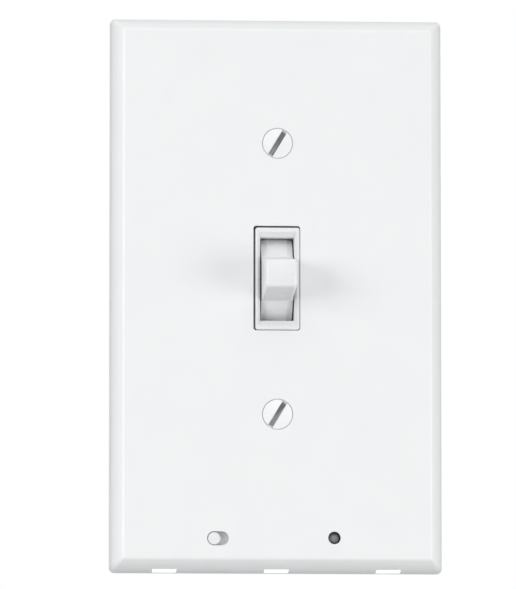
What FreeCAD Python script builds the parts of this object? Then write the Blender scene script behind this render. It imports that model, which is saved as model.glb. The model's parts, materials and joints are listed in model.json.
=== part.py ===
import FreeCAD, Part
import math
import os
import re

import Sketcher

# A single-pole toggle wall switch with a night-light cover plate, in millimetres.
#
# Frame: seen from the front, +X is right, +Z is up and +Y goes into the wall. The origin is the middle of the
# switch, midway between its two box screws, in the plane of the wall: the plate's rim and the back of the
# mounting strap lie at y = 0, and the front of the plate faces -Y.

SHEET = "dims"

DIMENSIONS = [
    # cover plate
    ("plate_width", 74.0, "side to side at the wall"),
    ("plate_up", 58.5, "from the switch's middle to the top edge"),
    ("plate_down", 65.1, "from the switch's middle to the bottom edge"),
    ("plate_depth", 7.0, "from the wall to the front face"),
    ("plate_skin", 1.8, "thickness of the front and of the rim"),
    ("rim_depth", 3.0, "depth of the rim, before the bevel starts"),
    ("rim_draft", 0.4, "how far the rim leans in over its depth"),
    ("cavity_lean", 1.8, "from the rim to the front, seen from the front, inside the plate"),
    ("plate_corner", 1.2, "corner radius at the wall"),
    ("bevel_corner", 0.35, "corner radius of the front face"),
    ("cavity_corner", 0.9, "corner radius inside the plate"),
    ("bevel_start", 14.0, "lean of the curved bevel where it leaves the rim, degrees"),
    ("bevel_end", 50.0, "lean of the bevel where it meets the front face, degrees"),
    ("face_softening", 0.8, "rounding between bevel and face"),
    ("bite", 0.1, "how far a cut or a join reaches past a face"),
    ("toggle_window_width", 10.4, "opening for the switch's neck"),
    ("toggle_window_height", 23.3, "opening for the switch's neck"),
    ("window_left", 0.17, "how far left of the neck's middle that opening sits"),
    ("window_up", 0.1, "how far above the neck's middle it sits"),
    ("window_corner", 0.6, "corner radius of that opening"),
    ("plate_screw_up", 30.16, "plate screws above and below the middle"),
    ("seat_radius", 3.45, "countersink at the front face"),
    ("seat_rim", 0.3, "straight part of the countersink"),
    ("seat_play", 0.1, "room round the countersunk head"),
    ("screw_passage", 2.0, "radius of the hole under the countersink"),
    ("boss_radius", 3.6, "boss behind each plate screw"),
    ("boss_height", 2.2, "how far the boss stands off the inner face"),
    # night light in the foot of the plate
    ("mode_x", -13.2, "middle of the mode switch's slot"),
    ("mode_z", -57.7, "middle of the mode switch's slot"),
    ("mode_slot_length", 4.8, "end to end"),
    ("mode_slot_width", 3.1, "across"),
    ("mode_travel", 1.7, "travel of the knob, left to right"),
    ("mode_knob_radius", 1.42, "round knob"),
    ("mode_knob_recess", 0.25, "knob's top below the front face"),
    ("knob_rounding", 0.25, "rounded edge of the knob"),
    ("knob_root", 0.3, "how far the knob goes into its shoe"),
    ("shoe_left", 3.2, "shoe that carries the knob, left of it"),
    ("shoe_right", 4.6, "shoe that carries the knob, right of it"),
    ("shoe_half", 1.7, "half of the shoe's height"),
    ("shoe_gap", 0.1, "from the plate's inner face to the shoe"),
    ("shoe_thick", 0.5, "thickness of the shoe"),
    ("slide_half_width", 4.4, "mode switch on the board"),
    ("slide_half_height", 1.75, "mode switch on the board"),
    ("slide_rise", 1.2, "mode switch, off the board"),
    ("sensor_x", 12.6, "middle of the light sensor"),
    ("sensor_z", -57.5, "middle of the light sensor"),
    ("sensor_hole", 1.4, "radius of its hole"),
    ("sensor_radius", 1.2, "radius of its clear body"),
    ("sensor_recess", 0.9, "sensor's dome below the front face"),
    ("sensor_flange", 0.25, "how far the sensor's foot stands out"),
    ("sensor_flange_rise", 0.7, "height of the sensor's foot"),
    ("light_pitch", 24.85, "from one light window to the next"),
    ("light_width", 5.4, "width of a light window"),
    ("light_front", 4.0, "front edge of a light window, from the wall"),
    ("light_back", 0.85, "back edge of a light window, from the wall"),
    ("light_reach", 3.4, "how far a window's opening goes in from the bottom edge"),
    ("light_fit", 0.05, "gap round each lens"),
    ("lens_length", 2.5, "how far a lens goes in from the bottom edge"),
    ("lens_inset", 0.1, "how far a lens stays inside the bevel"),
    ("lens_slope", 0.35, "lean of a lens along the bevel"),
    ("diode_half", 1.9, "half of a light diode's width"),
    ("diode_rise", 0.7, "a light diode on its board"),
    ("diode_height", 0.9, "a light diode, from the board's edge up"),
    ("diode_die_half", 1.5, "half of the width of its bright window"),
    ("diode_die_rise", 0.6, "front of that window"),
    ("diode_die_back", 0.15, "back of that window"),
    ("diode_die_out", 0.25, "how far that window stands out"),
    ("board_half", 29.0, "half of the circuit board's length"),
    ("board_top", -54.9, "upper edge of the circuit board"),
    ("board_bottom", -62.2, "lower edge of the circuit board"),
    ("board_front", -3.2, "front face of the circuit board"),
    ("board_thick", 0.8, "thickness of the circuit board"),
    ("board_corner", 0.6, "corner radius of the circuit board"),
    ("rectifier_x", 16.5, "bridge rectifier, along the board"),
    ("rectifier_width", 4.7, "bridge rectifier's case"),
    ("rectifier_height", 3.8, "bridge rectifier's case"),
    ("rectifier_rise", 1.3, "bridge rectifier's case, off the board"),
    ("rectifier_lead_width", 3.4, "bridge rectifier's leads"),
    ("rectifier_lead_height", 6.4, "bridge rectifier's leads, end to end"),
    ("rectifier_lead_rise", 0.5, "bridge rectifier's leads, off the board"),
    ("chip_x", -4.5, "control chip, along the board"),
    ("chip_width", 4.9, "control chip's case"),
    ("chip_height", 3.9, "control chip's case"),
    ("chip_rise", 1.3, "control chip's case, off the board"),
    ("chip_pitch", 1.27, "from one lead to the next"),
    ("chip_lead_width", 0.42, "control chip's leads"),
    ("chip_lead_height", 6.0, "control chip's leads, end to end"),
    ("chip_lead_rise", 0.4, "control chip's leads, off the board"),
    ("capacitor_x", 6.0, "capacitor, along the board"),
    ("capacitor_width", 3.2, "capacitor's body"),
    ("capacitor_height", 2.5, "capacitor's body"),
    ("capacitor_rise", 1.35, "capacitor's body, off the board"),
    ("capacitor_end_width", 4.0, "capacitor's ends, end to end"),
    ("capacitor_end_height", 2.3, "capacitor's ends"),
    ("capacitor_end_rise", 1.2, "capacitor's ends, off the board"),
    ("resistor_x", -19.0, "middle one of the resistors, along the board"),
    ("resistor_pitch", 5.0, "from one resistor to the next"),
    ("resistor_width", 2.2, "resistors' bodies"),
    ("resistor_height", 1.6, "resistors' bodies"),
    ("resistor_rise", 0.55, "resistors' bodies, off the board"),
    ("resistor_end_width", 3.1, "resistors' ends, end to end"),
    ("resistor_end_height", 1.5, "resistors' ends"),
    ("resistor_end_rise", 0.5, "resistors' ends, off the board"),
    ("cover_half", 34.4, "half of the rear cover's length"),
    ("cover_top", -54.2, "upper edge of the rear cover"),
    ("cover_bottom", -63.1, "lower edge of the rear cover"),
    ("cover_thick", 0.8, "thickness of the rear cover"),
    ("cover_corner", 0.6, "corner radius of the rear cover"),
    ("cover_wall", 0.6, "wall along the cover's upper edge"),
    ("cover_wall_inset", 2.0, "from the cover's ends to that wall"),
    ("cover_wall_gap", 0.15, "from that wall to the plate's inner face"),
    ("gate_play", 0.3, "room beside a brass run where it passes that wall"),
    ("gate_depth", 1.2, "depth of those gates"),
    ("cover_screw_x", 31.8, "rear cover's screws, left and right"),
    ("cover_screw_z", -58.8, "rear cover's screws"),
    ("cover_boss", 1.9, "radius of the bosses they go into"),
    ("cover_pilot", 0.75, "radius of the hole in those bosses"),
    ("pilot_floor", 0.3, "from the plate's inner face to the end of that hole"),
    ("small_play", 0.15, "room round the cover screws' threads"),
    ("small_seat_play", 0.1, "room round the cover screws' heads"),
    # prongs that reach back to the switch's terminal screws
    ("prong_z", 15.0, "prongs and terminals above and below the middle"),
    ("prong_inner", 21.2, "inner side of a prong's arm"),
    ("prong_outer", 24.2, "outer side of a prong's arm"),
    ("prong_height", 7.0, "height of a prong's arm"),
    ("prong_reach", 18.0, "how far an arm reaches behind the wall plane"),
    ("flange_inner", 19.6, "inner edge of a prong's flange"),
    ("flange_outer", 31.0, "outer edge of a prong's flange"),
    ("flange_height", 11.0, "height of a prong's flange"),
    ("flange_back", -2.6, "back of a prong's flange"),
    ("flange_corner", 0.8, "corner radius of a prong's flange"),
    ("prong_rounding", 0.7, "rounded end of a prong's arm"),
    ("channel_start", 0.9, "from the flange's inner edge to the strip's channel"),
    ("strip_thick", 0.4, "brass contact strip"),
    ("strip_height", 5.0, "width of the contact strip on the arm"),
    ("strip_gap", 0.3, "from the plate's inner face to the strip"),
    ("strip_play", 0.2, "room beside the strip in its channel"),
    ("strip_lap", 0.5, "how far the run overlaps the strip"),
    ("foot_drop", 1.8, "from the board's upper edge to the run's foot"),
    ("bow_inset", 0.5, "how much narrower the bow is, on each side"),
    ("bow_top", 18.42, "where the bowed contact touches the screw's head"),
    ("bow_start", 7.5, "front end of the bow"),
    ("bow_end", 17.6, "back end of the bow"),
    ("run_width", 2.6, "width of the strip that runs down to the board"),
    ("upper_run_x", 26.6, "inner edge of the upper prong's run"),
    ("lower_run_x", 21.2, "inner edge of the lower prong's run"),
    # mounting strap
    ("strap_thick", 1.3, "steel strap"),
    ("strap_half_length", 53.2, "from the middle to the end of the strap"),
    ("strap_half_width", 12.7, "half of the strap's middle"),
    ("ear_half_width", 16.7, "half of the strap's ears"),
    ("ear_start", 35.0, "where the ears start to widen"),
    ("ear_full", 38.0, "where the ears reach their width"),
    ("ear_clip", 3.0, "clipped corners of the ears"),
    ("box_screw_up", 41.67, "box screws above and below the middle"),
    ("box_slot_length", 7.6, "slot for a box screw, end to end"),
    ("box_slot_width", 4.3, "slot for a box screw"),
    ("ear_slot_x", 11.6, "break-off slots beside the box screws"),
    ("ear_slot_length", 9.0, "break-off slots"),
    ("ear_slot_width", 1.2, "break-off slots"),
    ("ear_slot_up", 2.0, "how much further out those slots sit than the box screws"),
    ("tab_low", -36.6, "lower edge of the ground tab"),
    ("tab_high", -28.6, "upper edge of the ground tab"),
    ("tab_back", 10.0, "how far the ground tab reaches back"),
    ("tab_rounding", 2.0, "rounded corners of the ground tab"),
    ("tap_play", 0.05, "room round the ground screw in the tab"),
    ("ground_y", 5.2, "ground screw, behind the wall plane"),
    ("ground_z", -32.6, "ground screw"),
    # housing of the switch
    ("neck_width", 9.8, "neck that shows in the plate"),
    ("neck_height", 22.7, "neck that shows in the plate"),
    ("neck_corner", 0.5, "corner radius of the neck"),
    ("neck_front", 6.7, "front of the neck, from the wall"),
    ("throat_width", 7.6, "opening in the neck"),
    ("throat_height", 18.6, "opening in the neck"),
    ("throat_slope_side", 0.6, "width of the sloped edge, left and right"),
    ("throat_slope_end", 1.15, "width of the sloped edge, above and below"),
    ("throat_slope_depth", 1.0, "depth of the sloped edge"),
    ("hair", 0.01, "start of the slope in front of the neck"),
    ("drum_pocket_half", 10.6, "room for the drum in the neck, above and below"),
    ("drum_pocket_front", 2.2, "where that room starts, from the wall"),
    ("drum_room_half", 11.6, "room for the drum behind the wall plane, above and below"),
    ("body_half_width", 16.3, "half of the housing's width"),
    ("body_half_height", 27.0, "half of the housing's height"),
    ("body_corner", 1.5, "corner radius of the housing"),
    ("body_wall", 1.8, "wall of the housing"),
    ("body_split", 8.5, "where front and rear housing meet"),
    ("body_back", 26.0, "back of the rear housing"),
    ("cheek_inner", 3.8, "inner side of the cheeks that carry the lever"),
    ("cheek_outer", 7.0, "outer side of the cheeks"),
    ("bar_low", 7.7, "inner side of the cross-bars behind the bumpers"),
    ("bar_high", 10.4, "outer side of the cross-bars"),
    ("bar_front", 7.3, "front of the cross-bars"),
    ("bumper_front", 6.1, "front of the bumpers"),
    ("bumper_high", 9.4, "outer side of the bumpers"),
    ("bumper_half", 3.2, "half of a bumper's width"),
    ("bumper_play", 0.1, "room beside a bumper"),
    ("keeper_half", 1.5, "half height of the keepers behind the trunnions"),
    ("keeper_inset", 0.4, "how much thinner a keeper is than its cheek, on each side"),
    ("back_rounding", 1.2, "rounded edge at the back of the housing"),
    ("terminal_window_half", 4.9, "half height of a terminal window"),
    ("terminal_window_front", 8.8, "front of a terminal window"),
    ("terminal_window_back", 18.8, "back of a terminal window"),
    ("wire_x", 13.3, "push-in wire holes"),
    ("wire_z", 18.8, "push-in wire holes above and below the middle"),
    ("wire_radius", 1.15, "push-in wire holes, for 14 AWG solid wire"),
    ("wire_boss", 2.6, "thickening inside the back wall at a wire hole"),
    ("wire_boss_left", 2.2, "from the wire hole to that thickening's inner edge"),
    ("wire_boss_half", 2.4, "half of its height"),
    ("release_width", 1.2, "release slot beside a wire hole"),
    ("release_height", 3.0, "release slot beside a wire hole"),
    ("release_x", 9.9, "release slot beside a wire hole"),
    ("rivet_x", 9.6, "rivets through strap and housing"),
    ("rivet_z", 20.5, "rivets through strap and housing"),
    ("rivet_hole", 1.3, "radius of their holes"),
    ("rivet_play", 0.05, "room round a rivet"),
    ("rivet_head", 2.3, "radius of a rivet's head"),
    ("rivet_head_rise", 0.6, "a rivet's head"),
    ("rivet_tail", 2.1, "radius of a rivet's closed end"),
    ("rivet_tail_rise", 0.7, "a rivet's closed end"),
    # toggle lever
    ("pivot_y", 4.5, "lever's axis, behind the wall plane"),
    ("drum_radius", 11.3, "drum that closes the neck"),
    ("drum_half", 3.5, "half of the drum's width"),
    ("drum_edge", 1.3, "width of the drum's sloped edges"),
    ("drum_edge_depth", 0.45, "depth of the drum's sloped edges"),
    ("lever_out", 12.5, "lever's tip in front of the plate"),
    ("lever_tip", 3.1, "half thickness of the tip"),
    ("lever_root", 4.5, "half thickness where the flare ends"),
    ("lever_flare", 4.85, "half thickness on the drum"),
    ("flare_length", 1.3, "length of the flare"),
    ("flare_radius", 2.6, "hollow radius of the flare"),
    ("flare_sink", 0.3, "how far the flare starts inside the drum"),
    ("lever_core", 1.0, "how far lever and foot reach past the axis"),
    ("hub_wall", 1.2, "hub round the trunnions"),
    ("lever_crown", 14.0, "radius of the crowned tip"),
    ("lever_softening", 0.75, "rounded edges of the lever"),
    ("trunnion_radius", 2.0, "trunnions"),
    ("trunnion_end", 6.6, "end of a trunnion"),
    ("trunnion_play", 0.05, "room round a trunnion"),
    ("cam_radius", 8.0, "radius of the foot's cam"),
    ("cam_offset", 1.94, "cam's centre below the lever's axis"),
    ("foot_half_width", 2.6, "half of the foot's width"),
    ("foot_half_height", 4.2, "half of the foot's height at the cam"),
    # contacts
    ("arm_front", 14.2, "front of the contact arm"),
    ("arm_thick", 0.8, "thickness of the contact arm"),
    ("arm_half", 2.5, "half of the contact arm's width"),
    ("arm_pivot_z", -13.0, "contact arm's axis"),
    ("arm_top", 13.6, "top of the contact arm"),
    ("arm_tail", 1.4, "arm below its axis"),
    ("arm_pin", 0.6, "pins at the arm's axis"),
    ("arm_pin_play", 0.05, "room round those pins"),
    ("arm_pin_reach", 1.0, "how far a pin stands out"),
    ("arm_rounding", 1.0, "rounded corners of the arm"),
    ("ridge_inset", 0.3, "from the arm's side to the end of its ridge"),
    ("follower_radius", 1.0, "ridge on the arm that rides on the cam"),
    ("follower_play", 0.1, "room between ridge and cam"),
    ("contact_z", 11.2, "middle of the contacts"),
    ("contact_radius", 1.6, "contacts"),
    ("contact_thick", 0.85, "moving contact's face in front of the arm"),
    ("contact_gap", 1.2, "between the contacts, lever at mid-throw"),
    ("contact_shank", 0.9, "shank of a contact"),
    ("contact_tail", 0.5, "closed head of a contact's shank"),
    ("contact_head", 0.4, "how far that closed head stands out"),
    ("contact_head_taper", 0.2, "how far it tapers"),
    ("contact_edge", 0.25, "rounded edge of a contact"),
    ("contact_edge_radius", 0.3, "rounded edge of a contact"),
    ("shank_play", 0.02, "room round a shank"),
    ("busbar_thick", 1.0, "terminal plates"),
    ("fixed_run_low", 9.6, "lower edge of the fixed contact's plate"),
    ("fixed_run_step", 0.7, "how much narrower it is where it passes the wall"),
    ("fixed_run_high", 12.8, "upper edge of that plate"),
    ("arm_run_front", 15.3, "front of the arm's terminal plate"),
    ("arm_run_low", -17.0, "lower edge of that plate"),
    ("arm_run_high", -12.0, "upper edge of that plate"),
    ("ear_thick", 1.0, "ears that hold the arm's pins"),
    ("ear_gap", 0.2, "from the arm to those ears"),
    ("ear_front", 1.3, "from the pins' axis to the front of the ears"),
    ("ear_low", 1.4, "from that axis to the lower edge of the ears"),
    ("ear_high", 1.0, "from that axis to the upper edge of the ears"),
    ("terminal_inner", 15.0, "inner face of the terminals"),
    ("leaf_play", 0.2, "room round a terminal in the housing"),
    ("leaf_tap_play", 0.03, "room round a terminal screw in its leaf"),
    ("terminal_y", 13.0, "terminal screws, behind the wall plane"),
    ("clamp_thick", 0.4, "push-in clamps"),
    ("clamp_low", 17.5, "lower edge of the upper clamp"),
    ("clamp_high", 20.3, "upper edge of the upper clamp"),
    ("clamp_x", 10.6, "inner face of a clamp's back leaf"),
    ("clamp_front", 11.2, "front end of a clamp"),
    ("clamp_back", 20.8, "back end of a clamp"),
    ("clamp_bend", 2.4, "from a clamp's front end to its bend"),
    ("clamp_edge", 0.4, "thickness of a clamp's biting edge"),
    ("clamp_bite", 0.5, "how far a clamp stands in the wire's way"),
    # screws
    ("thread_radius", 1.75, "plate and box screws, major radius"),
    ("thread_room", 1.8, "holes that those screws pass or thread into"),
    ("plate_head", 3.28, "plate screw's head"),
    ("plate_head_rise", 0.45, "domed part of the plate screw's head"),
    ("plate_head_cone", 1.4, "countersunk part of the plate screw's head"),
    ("plate_screw_length", 14.0, "below the head's rim"),
    ("plate_slot", 1.15, "width of the plate screw's slot"),
    ("plate_slot_depth", 1.0, "depth of the plate screw's slot"),
    ("head_sink", 0.15, "straight rim of the plate screw's head"),
    ("plate_point", 0.6, "how much the plate screw narrows at its point"),
    ("plate_point_length", 0.8, "length of that point"),
    ("plate_slot_turn", 59.0, "turn of the plate screw's slot, degrees"),
    ("box_head", 3.6, "box screw's head"),
    ("box_head_rise", 2.2, "box screw's head"),
    ("box_screw_length", 26.0, "below the head"),
    ("pan_slot", 1.2, "width of the slot in box and terminal screws"),
    ("pan_slot_share", 0.6, "depth of a slot, as a share of the head"),
    ("shoulder_low", 0.45, "where a head's shoulder starts, as a share of the head"),
    ("shoulder_radius", 0.8, "radius of that shoulder, as a share of the head"),
    ("shoulder_in", 0.55, "how far the shoulder comes in, as a share of the head"),
    ("point_in", 0.5, "how much a thread narrows at its point"),
    ("point_length", 0.7, "length of that point"),
    ("retainer_thick", 0.9, "washer that keeps a box screw in its slot"),
    ("retainer_groove", 1.45, "radius of the groove that the washer sits in"),
    ("retainer_play", 0.1, "room in that groove"),
    ("retainer_half_width", 4.6, "half of the washer's width"),
    ("retainer_half_height", 4.2, "half of the washer's height"),
    ("retainer_corner", 0.8, "corner radius of the washer"),
    ("terminal_thread", 2.0, "terminal and ground screws"),
    ("terminal_head", 3.9, "terminal and ground screws"),
    ("terminal_head_rise", 2.2, "terminal and ground screws"),
    ("terminal_screw_length", 7.0, "terminal and ground screws"),
    ("terminal_gap", 0.1, "from a head to the leaf or tab under it"),
    ("small_head", 1.5, "rear cover's screws"),
    ("small_head_rise", 0.5, "rear cover's screws"),
    ("small_thread", 0.7, "rear cover's screws"),
    ("small_length", 3.0, "rear cover's screws"),
    ("small_slot", 0.5, "width of the slot in the cover screws"),
]

NAMES = {alias for alias, value, note in DIMENSIONS}

document = FreeCAD.newDocument("toggle_wall_switch")
sheet = document.addObject("Spreadsheet::Sheet", SHEET)
for row, (alias, value, note) in enumerate(DIMENSIONS, start=1):
    sheet.set(f"A{row}", alias)
    sheet.set(f"B{row}", str(value))
    sheet.setAlias(f"B{row}", alias)
    sheet.set(f"C{row}", note)
document.recompute()

SUB_PARTS = []

# The drum is a sector of a disc, just wide enough to close the neck at both ends of the throw, in degrees.
DRUM_SWEEP = 160.0

# How far each screw was turned when it was tightened, in degrees.
TERMINAL_TURNS = {"upper": 25.0, "lower": 70.0}
GROUND_TURN = 40.0

# Sections that the curved bevel runs through, as shares of its turn.
BEVEL_SHARES = (0.25, 0.5, 0.75, 1.0)
CHIP_LEADS = 4


def bound(text):
    """The expression with the name of every dimension pointed at the sheet."""
    return re.sub(r"[a-z][a-z_]*", lambda word: f"{SHEET}.{word[0]}" if word[0] in NAMES else word[0], text)


def number(text):
    """What an expression comes to now."""
    value = sheet.evalExpression(bound(text))
    return float(getattr(value, "Value", value))


def tie(item, name, text):
    """Binds one property of an object to the sheet."""
    item.setExpression(name, bound(text))


def keep(item):
    """Marks an object as a sub-part: its Label names its file."""
    SUB_PARTS.append(item)
    return item


def new_body(label):
    body = document.addObject("PartDesign::Body", label)
    body.Label = label
    return keep(body)


def place(item, x="0", y="0", z="0", turn=None):
    """Binds where a sub-part stands; turn is a fixed rotation."""
    if turn is not None:
        item.Placement = FreeCAD.Placement(FreeCAD.Vector(0, 0, 0), turn)
    tie(item, "Placement.Base.x", x)
    tie(item, "Placement.Base.y", y)
    tie(item, "Placement.Base.z", z)


# ---- sketches: each drawing is a function that fills one sketch --------------------------------------------------


def new_sketch(body, plane, offset):
    """A sketch at a coordinate along the plane's axis: x for YZ_Plane, y for XZ_Plane, z for XY_Plane."""
    sketch = body.newObject("Sketcher::SketchObject", "Sketch")
    support = next(item for item in body.Origin.OriginFeatures if item.Role == plane)
    sketch.AttachmentSupport = [(support, "")]
    sketch.MapMode = "FlatFace"
    sign = "-" if plane == "XZ_Plane" else ""
    tie(sketch, "AttachmentOffset.Base.z", f"{sign}({offset})")
    return sketch


def fix(sketch, kind, geometry, point, text):
    """One dimension of a sketch, bound to the sheet. Points are measured from the sketch's origin."""
    if kind == "Radius":
        index = sketch.addConstraint(Sketcher.Constraint(kind, geometry, number(text)))
    else:
        index = sketch.addConstraint(Sketcher.Constraint(kind, -1, 1, geometry, point, number(text)))
    tie(sketch, f"Constraints[{index}]", text)


def fix_point(sketch, geometry, point, u, v):
    fix(sketch, "DistanceX", geometry, point, u)
    fix(sketch, "DistanceY", geometry, point, v)


def arc_between(start, end, radius):
    """The short arc from start to end, turning left for a positive radius, and whether it is stored backwards."""
    chord = end - start
    middle = (start + end) * 0.5
    rise = math.sqrt(max(radius**2 - (chord.Length / 2) ** 2, 0.0))
    left = FreeCAD.Vector(-chord.y, chord.x, 0).normalize()
    centre = middle + left * math.copysign(rise, radius)
    first, last = (start, end) if radius > 0 else (end, start)
    begin = math.atan2(first.y - centre.y, first.x - centre.x)
    finish = math.atan2(last.y - centre.y, last.x - centre.x)
    circle = Part.Circle(centre, FreeCAD.Vector(0, 0, 1), abs(radius))
    return Part.ArcOfCircle(circle, begin, finish), radius < 0


def outline(*corners):
    """A closed outline. A corner is (u, v), or (u, v, radius) where an arc leads on to the next one."""

    def draw(sketch):
        points = [FreeCAD.Vector(number(corner[0]), number(corner[1]), 0) for corner in corners]
        ends = []
        for index, corner in enumerate(corners):
            start = points[index]
            end = points[(index + 1) % len(points)]
            if len(corner) == 3:
                edge, backwards = arc_between(start, end, number(corner[2]))
            else:
                edge, backwards = Part.LineSegment(start, end), False
            geometry = sketch.addGeometry(edge, False)
            ends.append((geometry, 2, 1) if backwards else (geometry, 1, 2))
        for index, corner in enumerate(corners):
            geometry, first, last = ends[index]
            following, its_first, its_last = ends[(index + 1) % len(ends)]
            sketch.addConstraint(Sketcher.Constraint("Coincident", geometry, last, following, its_first))
            fix_point(sketch, geometry, first, corner[0], corner[1])
            if len(corner) == 3:
                fix(sketch, "Radius", geometry, None, corner[2].lstrip("-"))

    return draw


def rectangle(left, right, low, high):
    return outline((left, low), (right, low), (right, high), (left, high))


def rectangle_about(half_width, half_height):
    return rectangle(f"-({half_width})", half_width, f"-({half_height})", half_height)


def rounded(left, right, low, high, radius):
    """A rectangle whose corners are arcs."""
    return outline(
        (f"{left} + {radius}", low),
        (f"{right} - {radius}", low, radius),
        (right, f"{low} + {radius}"),
        (right, f"{high} - {radius}", radius),
        (f"{right} - {radius}", high),
        (f"{left} + {radius}", high, radius),
        (left, f"{high} - {radius}"),
        (left, f"{low} + {radius}", radius),
    )


def circle(u, v, radius):
    def draw(sketch):
        centre = FreeCAD.Vector(number(u), number(v), 0)
        shape = Part.Circle(centre, FreeCAD.Vector(0, 0, 1), number(radius))
        geometry = sketch.addGeometry(shape, False)
        fix_point(sketch, geometry, 3, u, v)
        fix(sketch, "Radius", geometry, None, radius)

    return draw


def stadium(left, right, middle, radius):
    """A slot along u, from end to end, with round ends."""

    def draw(sketch):
        half_turn = math.pi / 2
        r = number(radius)
        v = number(middle)
        first = number(left) + r
        last = number(right) - r
        normal = FreeCAD.Vector(0, 0, 1)
        right_end = Part.Circle(FreeCAD.Vector(last, v, 0), normal, r)
        left_end = Part.Circle(FreeCAD.Vector(first, v, 0), normal, r)
        a = sketch.addGeometry(Part.ArcOfCircle(right_end, -half_turn, half_turn), False)
        top = Part.LineSegment(FreeCAD.Vector(last, v + r, 0), FreeCAD.Vector(first, v + r, 0))
        b = sketch.addGeometry(top, False)
        c = sketch.addGeometry(Part.ArcOfCircle(left_end, half_turn, 3 * half_turn), False)
        bottom = Part.LineSegment(FreeCAD.Vector(first, v - r, 0), FreeCAD.Vector(last, v - r, 0))
        d = sketch.addGeometry(bottom, False)
        for one, its_end, other, its_start in ((a, 2, b, 1), (b, 2, c, 1), (c, 2, d, 1), (d, 2, a, 1)):
            sketch.addConstraint(Sketcher.Constraint("Tangent", one, its_end, other, its_start))
        fix(sketch, "Radius", a, None, radius)
        fix(sketch, "Radius", c, None, radius)
        fix_point(sketch, a, 3, f"{right} - {radius}", middle)
        fix_point(sketch, c, 3, f"{left} + {radius}", middle)

    return draw


def several(*drawings):
    def draw(sketch):
        for drawing in drawings:
            drawing(sketch)

    return draw


# ---- features ----------------------------------------------------------------------------------------------------


def checked(body, feature, removes):
    """Recomputes, and stops if a feature changed nothing or went the wrong way."""
    before = feature.BaseFeature.Shape.Volume if feature.BaseFeature else 0.0
    document.recompute()
    change = body.Shape.Volume - before
    if (change >= 0) if removes else (change <= 0):
        raise RuntimeError(f"{body.Label}: {feature.Name} changed the volume by {change:.3f}")
    return feature


def prism(body, plane, low, high, drawing, cut=False):
    """Pads, or pockets, a drawing between two coordinates along the plane's axis."""
    sketch = new_sketch(body, plane, low)
    drawing(sketch)
    kind = "PartDesign::Pocket" if cut else "PartDesign::Pad"
    feature = body.newObject(kind, "Pocket" if cut else "Pad")
    feature.Profile = sketch
    feature.Reversed = (plane == "XZ_Plane") != cut
    tie(feature, "Length", f"({high}) - ({low})")
    return checked(body, feature, cut)


def turned(body, drawing, axis="V_Axis", plane="XZ_Plane", angle=360.0, cut=False):
    """Revolves a drawing about one of its sketch's own axes."""
    sketch = new_sketch(body, plane, "0")
    drawing(sketch)
    kind = "PartDesign::Groove" if cut else "PartDesign::Revolution"
    feature = body.newObject(kind, "Groove" if cut else "Revolution")
    feature.Profile = sketch
    feature.ReferenceAxis = (sketch, [axis])
    feature.Angle = angle
    feature.Midplane = angle < 360.0
    return checked(body, feature, cut)


def loft(body, sections, cut=False, straight=True):
    """A loft through (plane, coordinate, drawing) sections, with straight sides or smoothly curved ones."""
    sketches = []
    for plane, offset, drawing in sections:
        sketch = new_sketch(body, plane, offset)
        drawing(sketch)
        sketches.append(sketch)
    kind = "PartDesign::SubtractiveLoft" if cut else "PartDesign::AdditiveLoft"
    feature = body.newObject(kind, "Loft")
    feature.Profile = sketches[0]
    feature.Sections = sketches[1:]
    feature.Ruled = straight
    return checked(body, feature, cut)


def round_edges(body, radius, wanted):
    """Fillets the edges of the body's last feature that wanted picks out."""
    base = body.Tip
    names = [f"Edge{i}" for i, edge in enumerate(base.Shape.Edges, start=1) if wanted(edge)]
    if not names:
        raise RuntimeError(f"{body.Label}: no edge to round")
    fillet = body.newObject("PartDesign::Fillet", "Fillet")
    fillet.Base = (base, names)
    tie(fillet, "Radius", radius)
    document.recompute()
    if "Invalid" in fillet.State or fillet.Shape.isNull():
        raise RuntimeError(f"{body.Label}: its edges could not be rounded")
    return fillet


def lies_at(axis, value):
    """Picks edges that lie wholly at one coordinate."""

    def wanted(edge):
        box = edge.BoundBox
        low, high = getattr(box, axis.upper() + "Min"), getattr(box, axis.upper() + "Max")
        return abs(low - value) < 0.01 and abs(high - value) < 0.01

    return wanted


def runs_along(axis, shortest):
    """Picks straight edges along one axis."""

    def wanted(edge):
        box = edge.BoundBox
        lengths = {"x": box.XLength, "y": box.YLength, "z": box.ZLength}
        others = [lengths[name] for name in lengths if name != axis]
        return lengths[axis] >= shortest and max(others) < 0.01

    return wanted


def block(label, x, y, z, kept=True):
    """A plain block between pairs of coordinates."""
    item = document.addObject("Part::Box", label)
    item.Label = label
    for side, name, (low, high) in (("Length", "x", x), ("Width", "y", y), ("Height", "z", z)):
        tie(item, side, f"({high}) - ({low})")
        tie(item, f"Placement.Base.{name}", low)
    return keep(item) if kept else item


def joined(label, *pieces):
    item = document.addObject("Part::MultiFuse", label)
    item.Label = label
    item.Shapes = list(pieces)
    item.Refine = True
    return keep(item)


def facing(x, y, z):
    """Turns a piece made along its own +Z to point in a direction."""
    return FreeCAD.Rotation(FreeCAD.Vector(0, 0, 1), FreeCAD.Vector(x, y, z))


def about_own_axis(degrees):
    return FreeCAD.Rotation(FreeCAD.Vector(0, 0, 1), degrees)


FRONT, BACK, RIGHT, LEFT = facing(0, -1, 0), facing(0, 1, 0), facing(1, 0, 0), facing(-1, 0, 0)

# ---- cover plate -------------------------------------------------------------------------------------------------


def plate_section(inset, radius):
    half = "plate_width / 2"
    return rounded(
        f"-({half}) + {inset}", f"{half} - ({inset})", f"-plate_down + {inset}", f"plate_up - ({inset})", radius
    )


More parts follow.
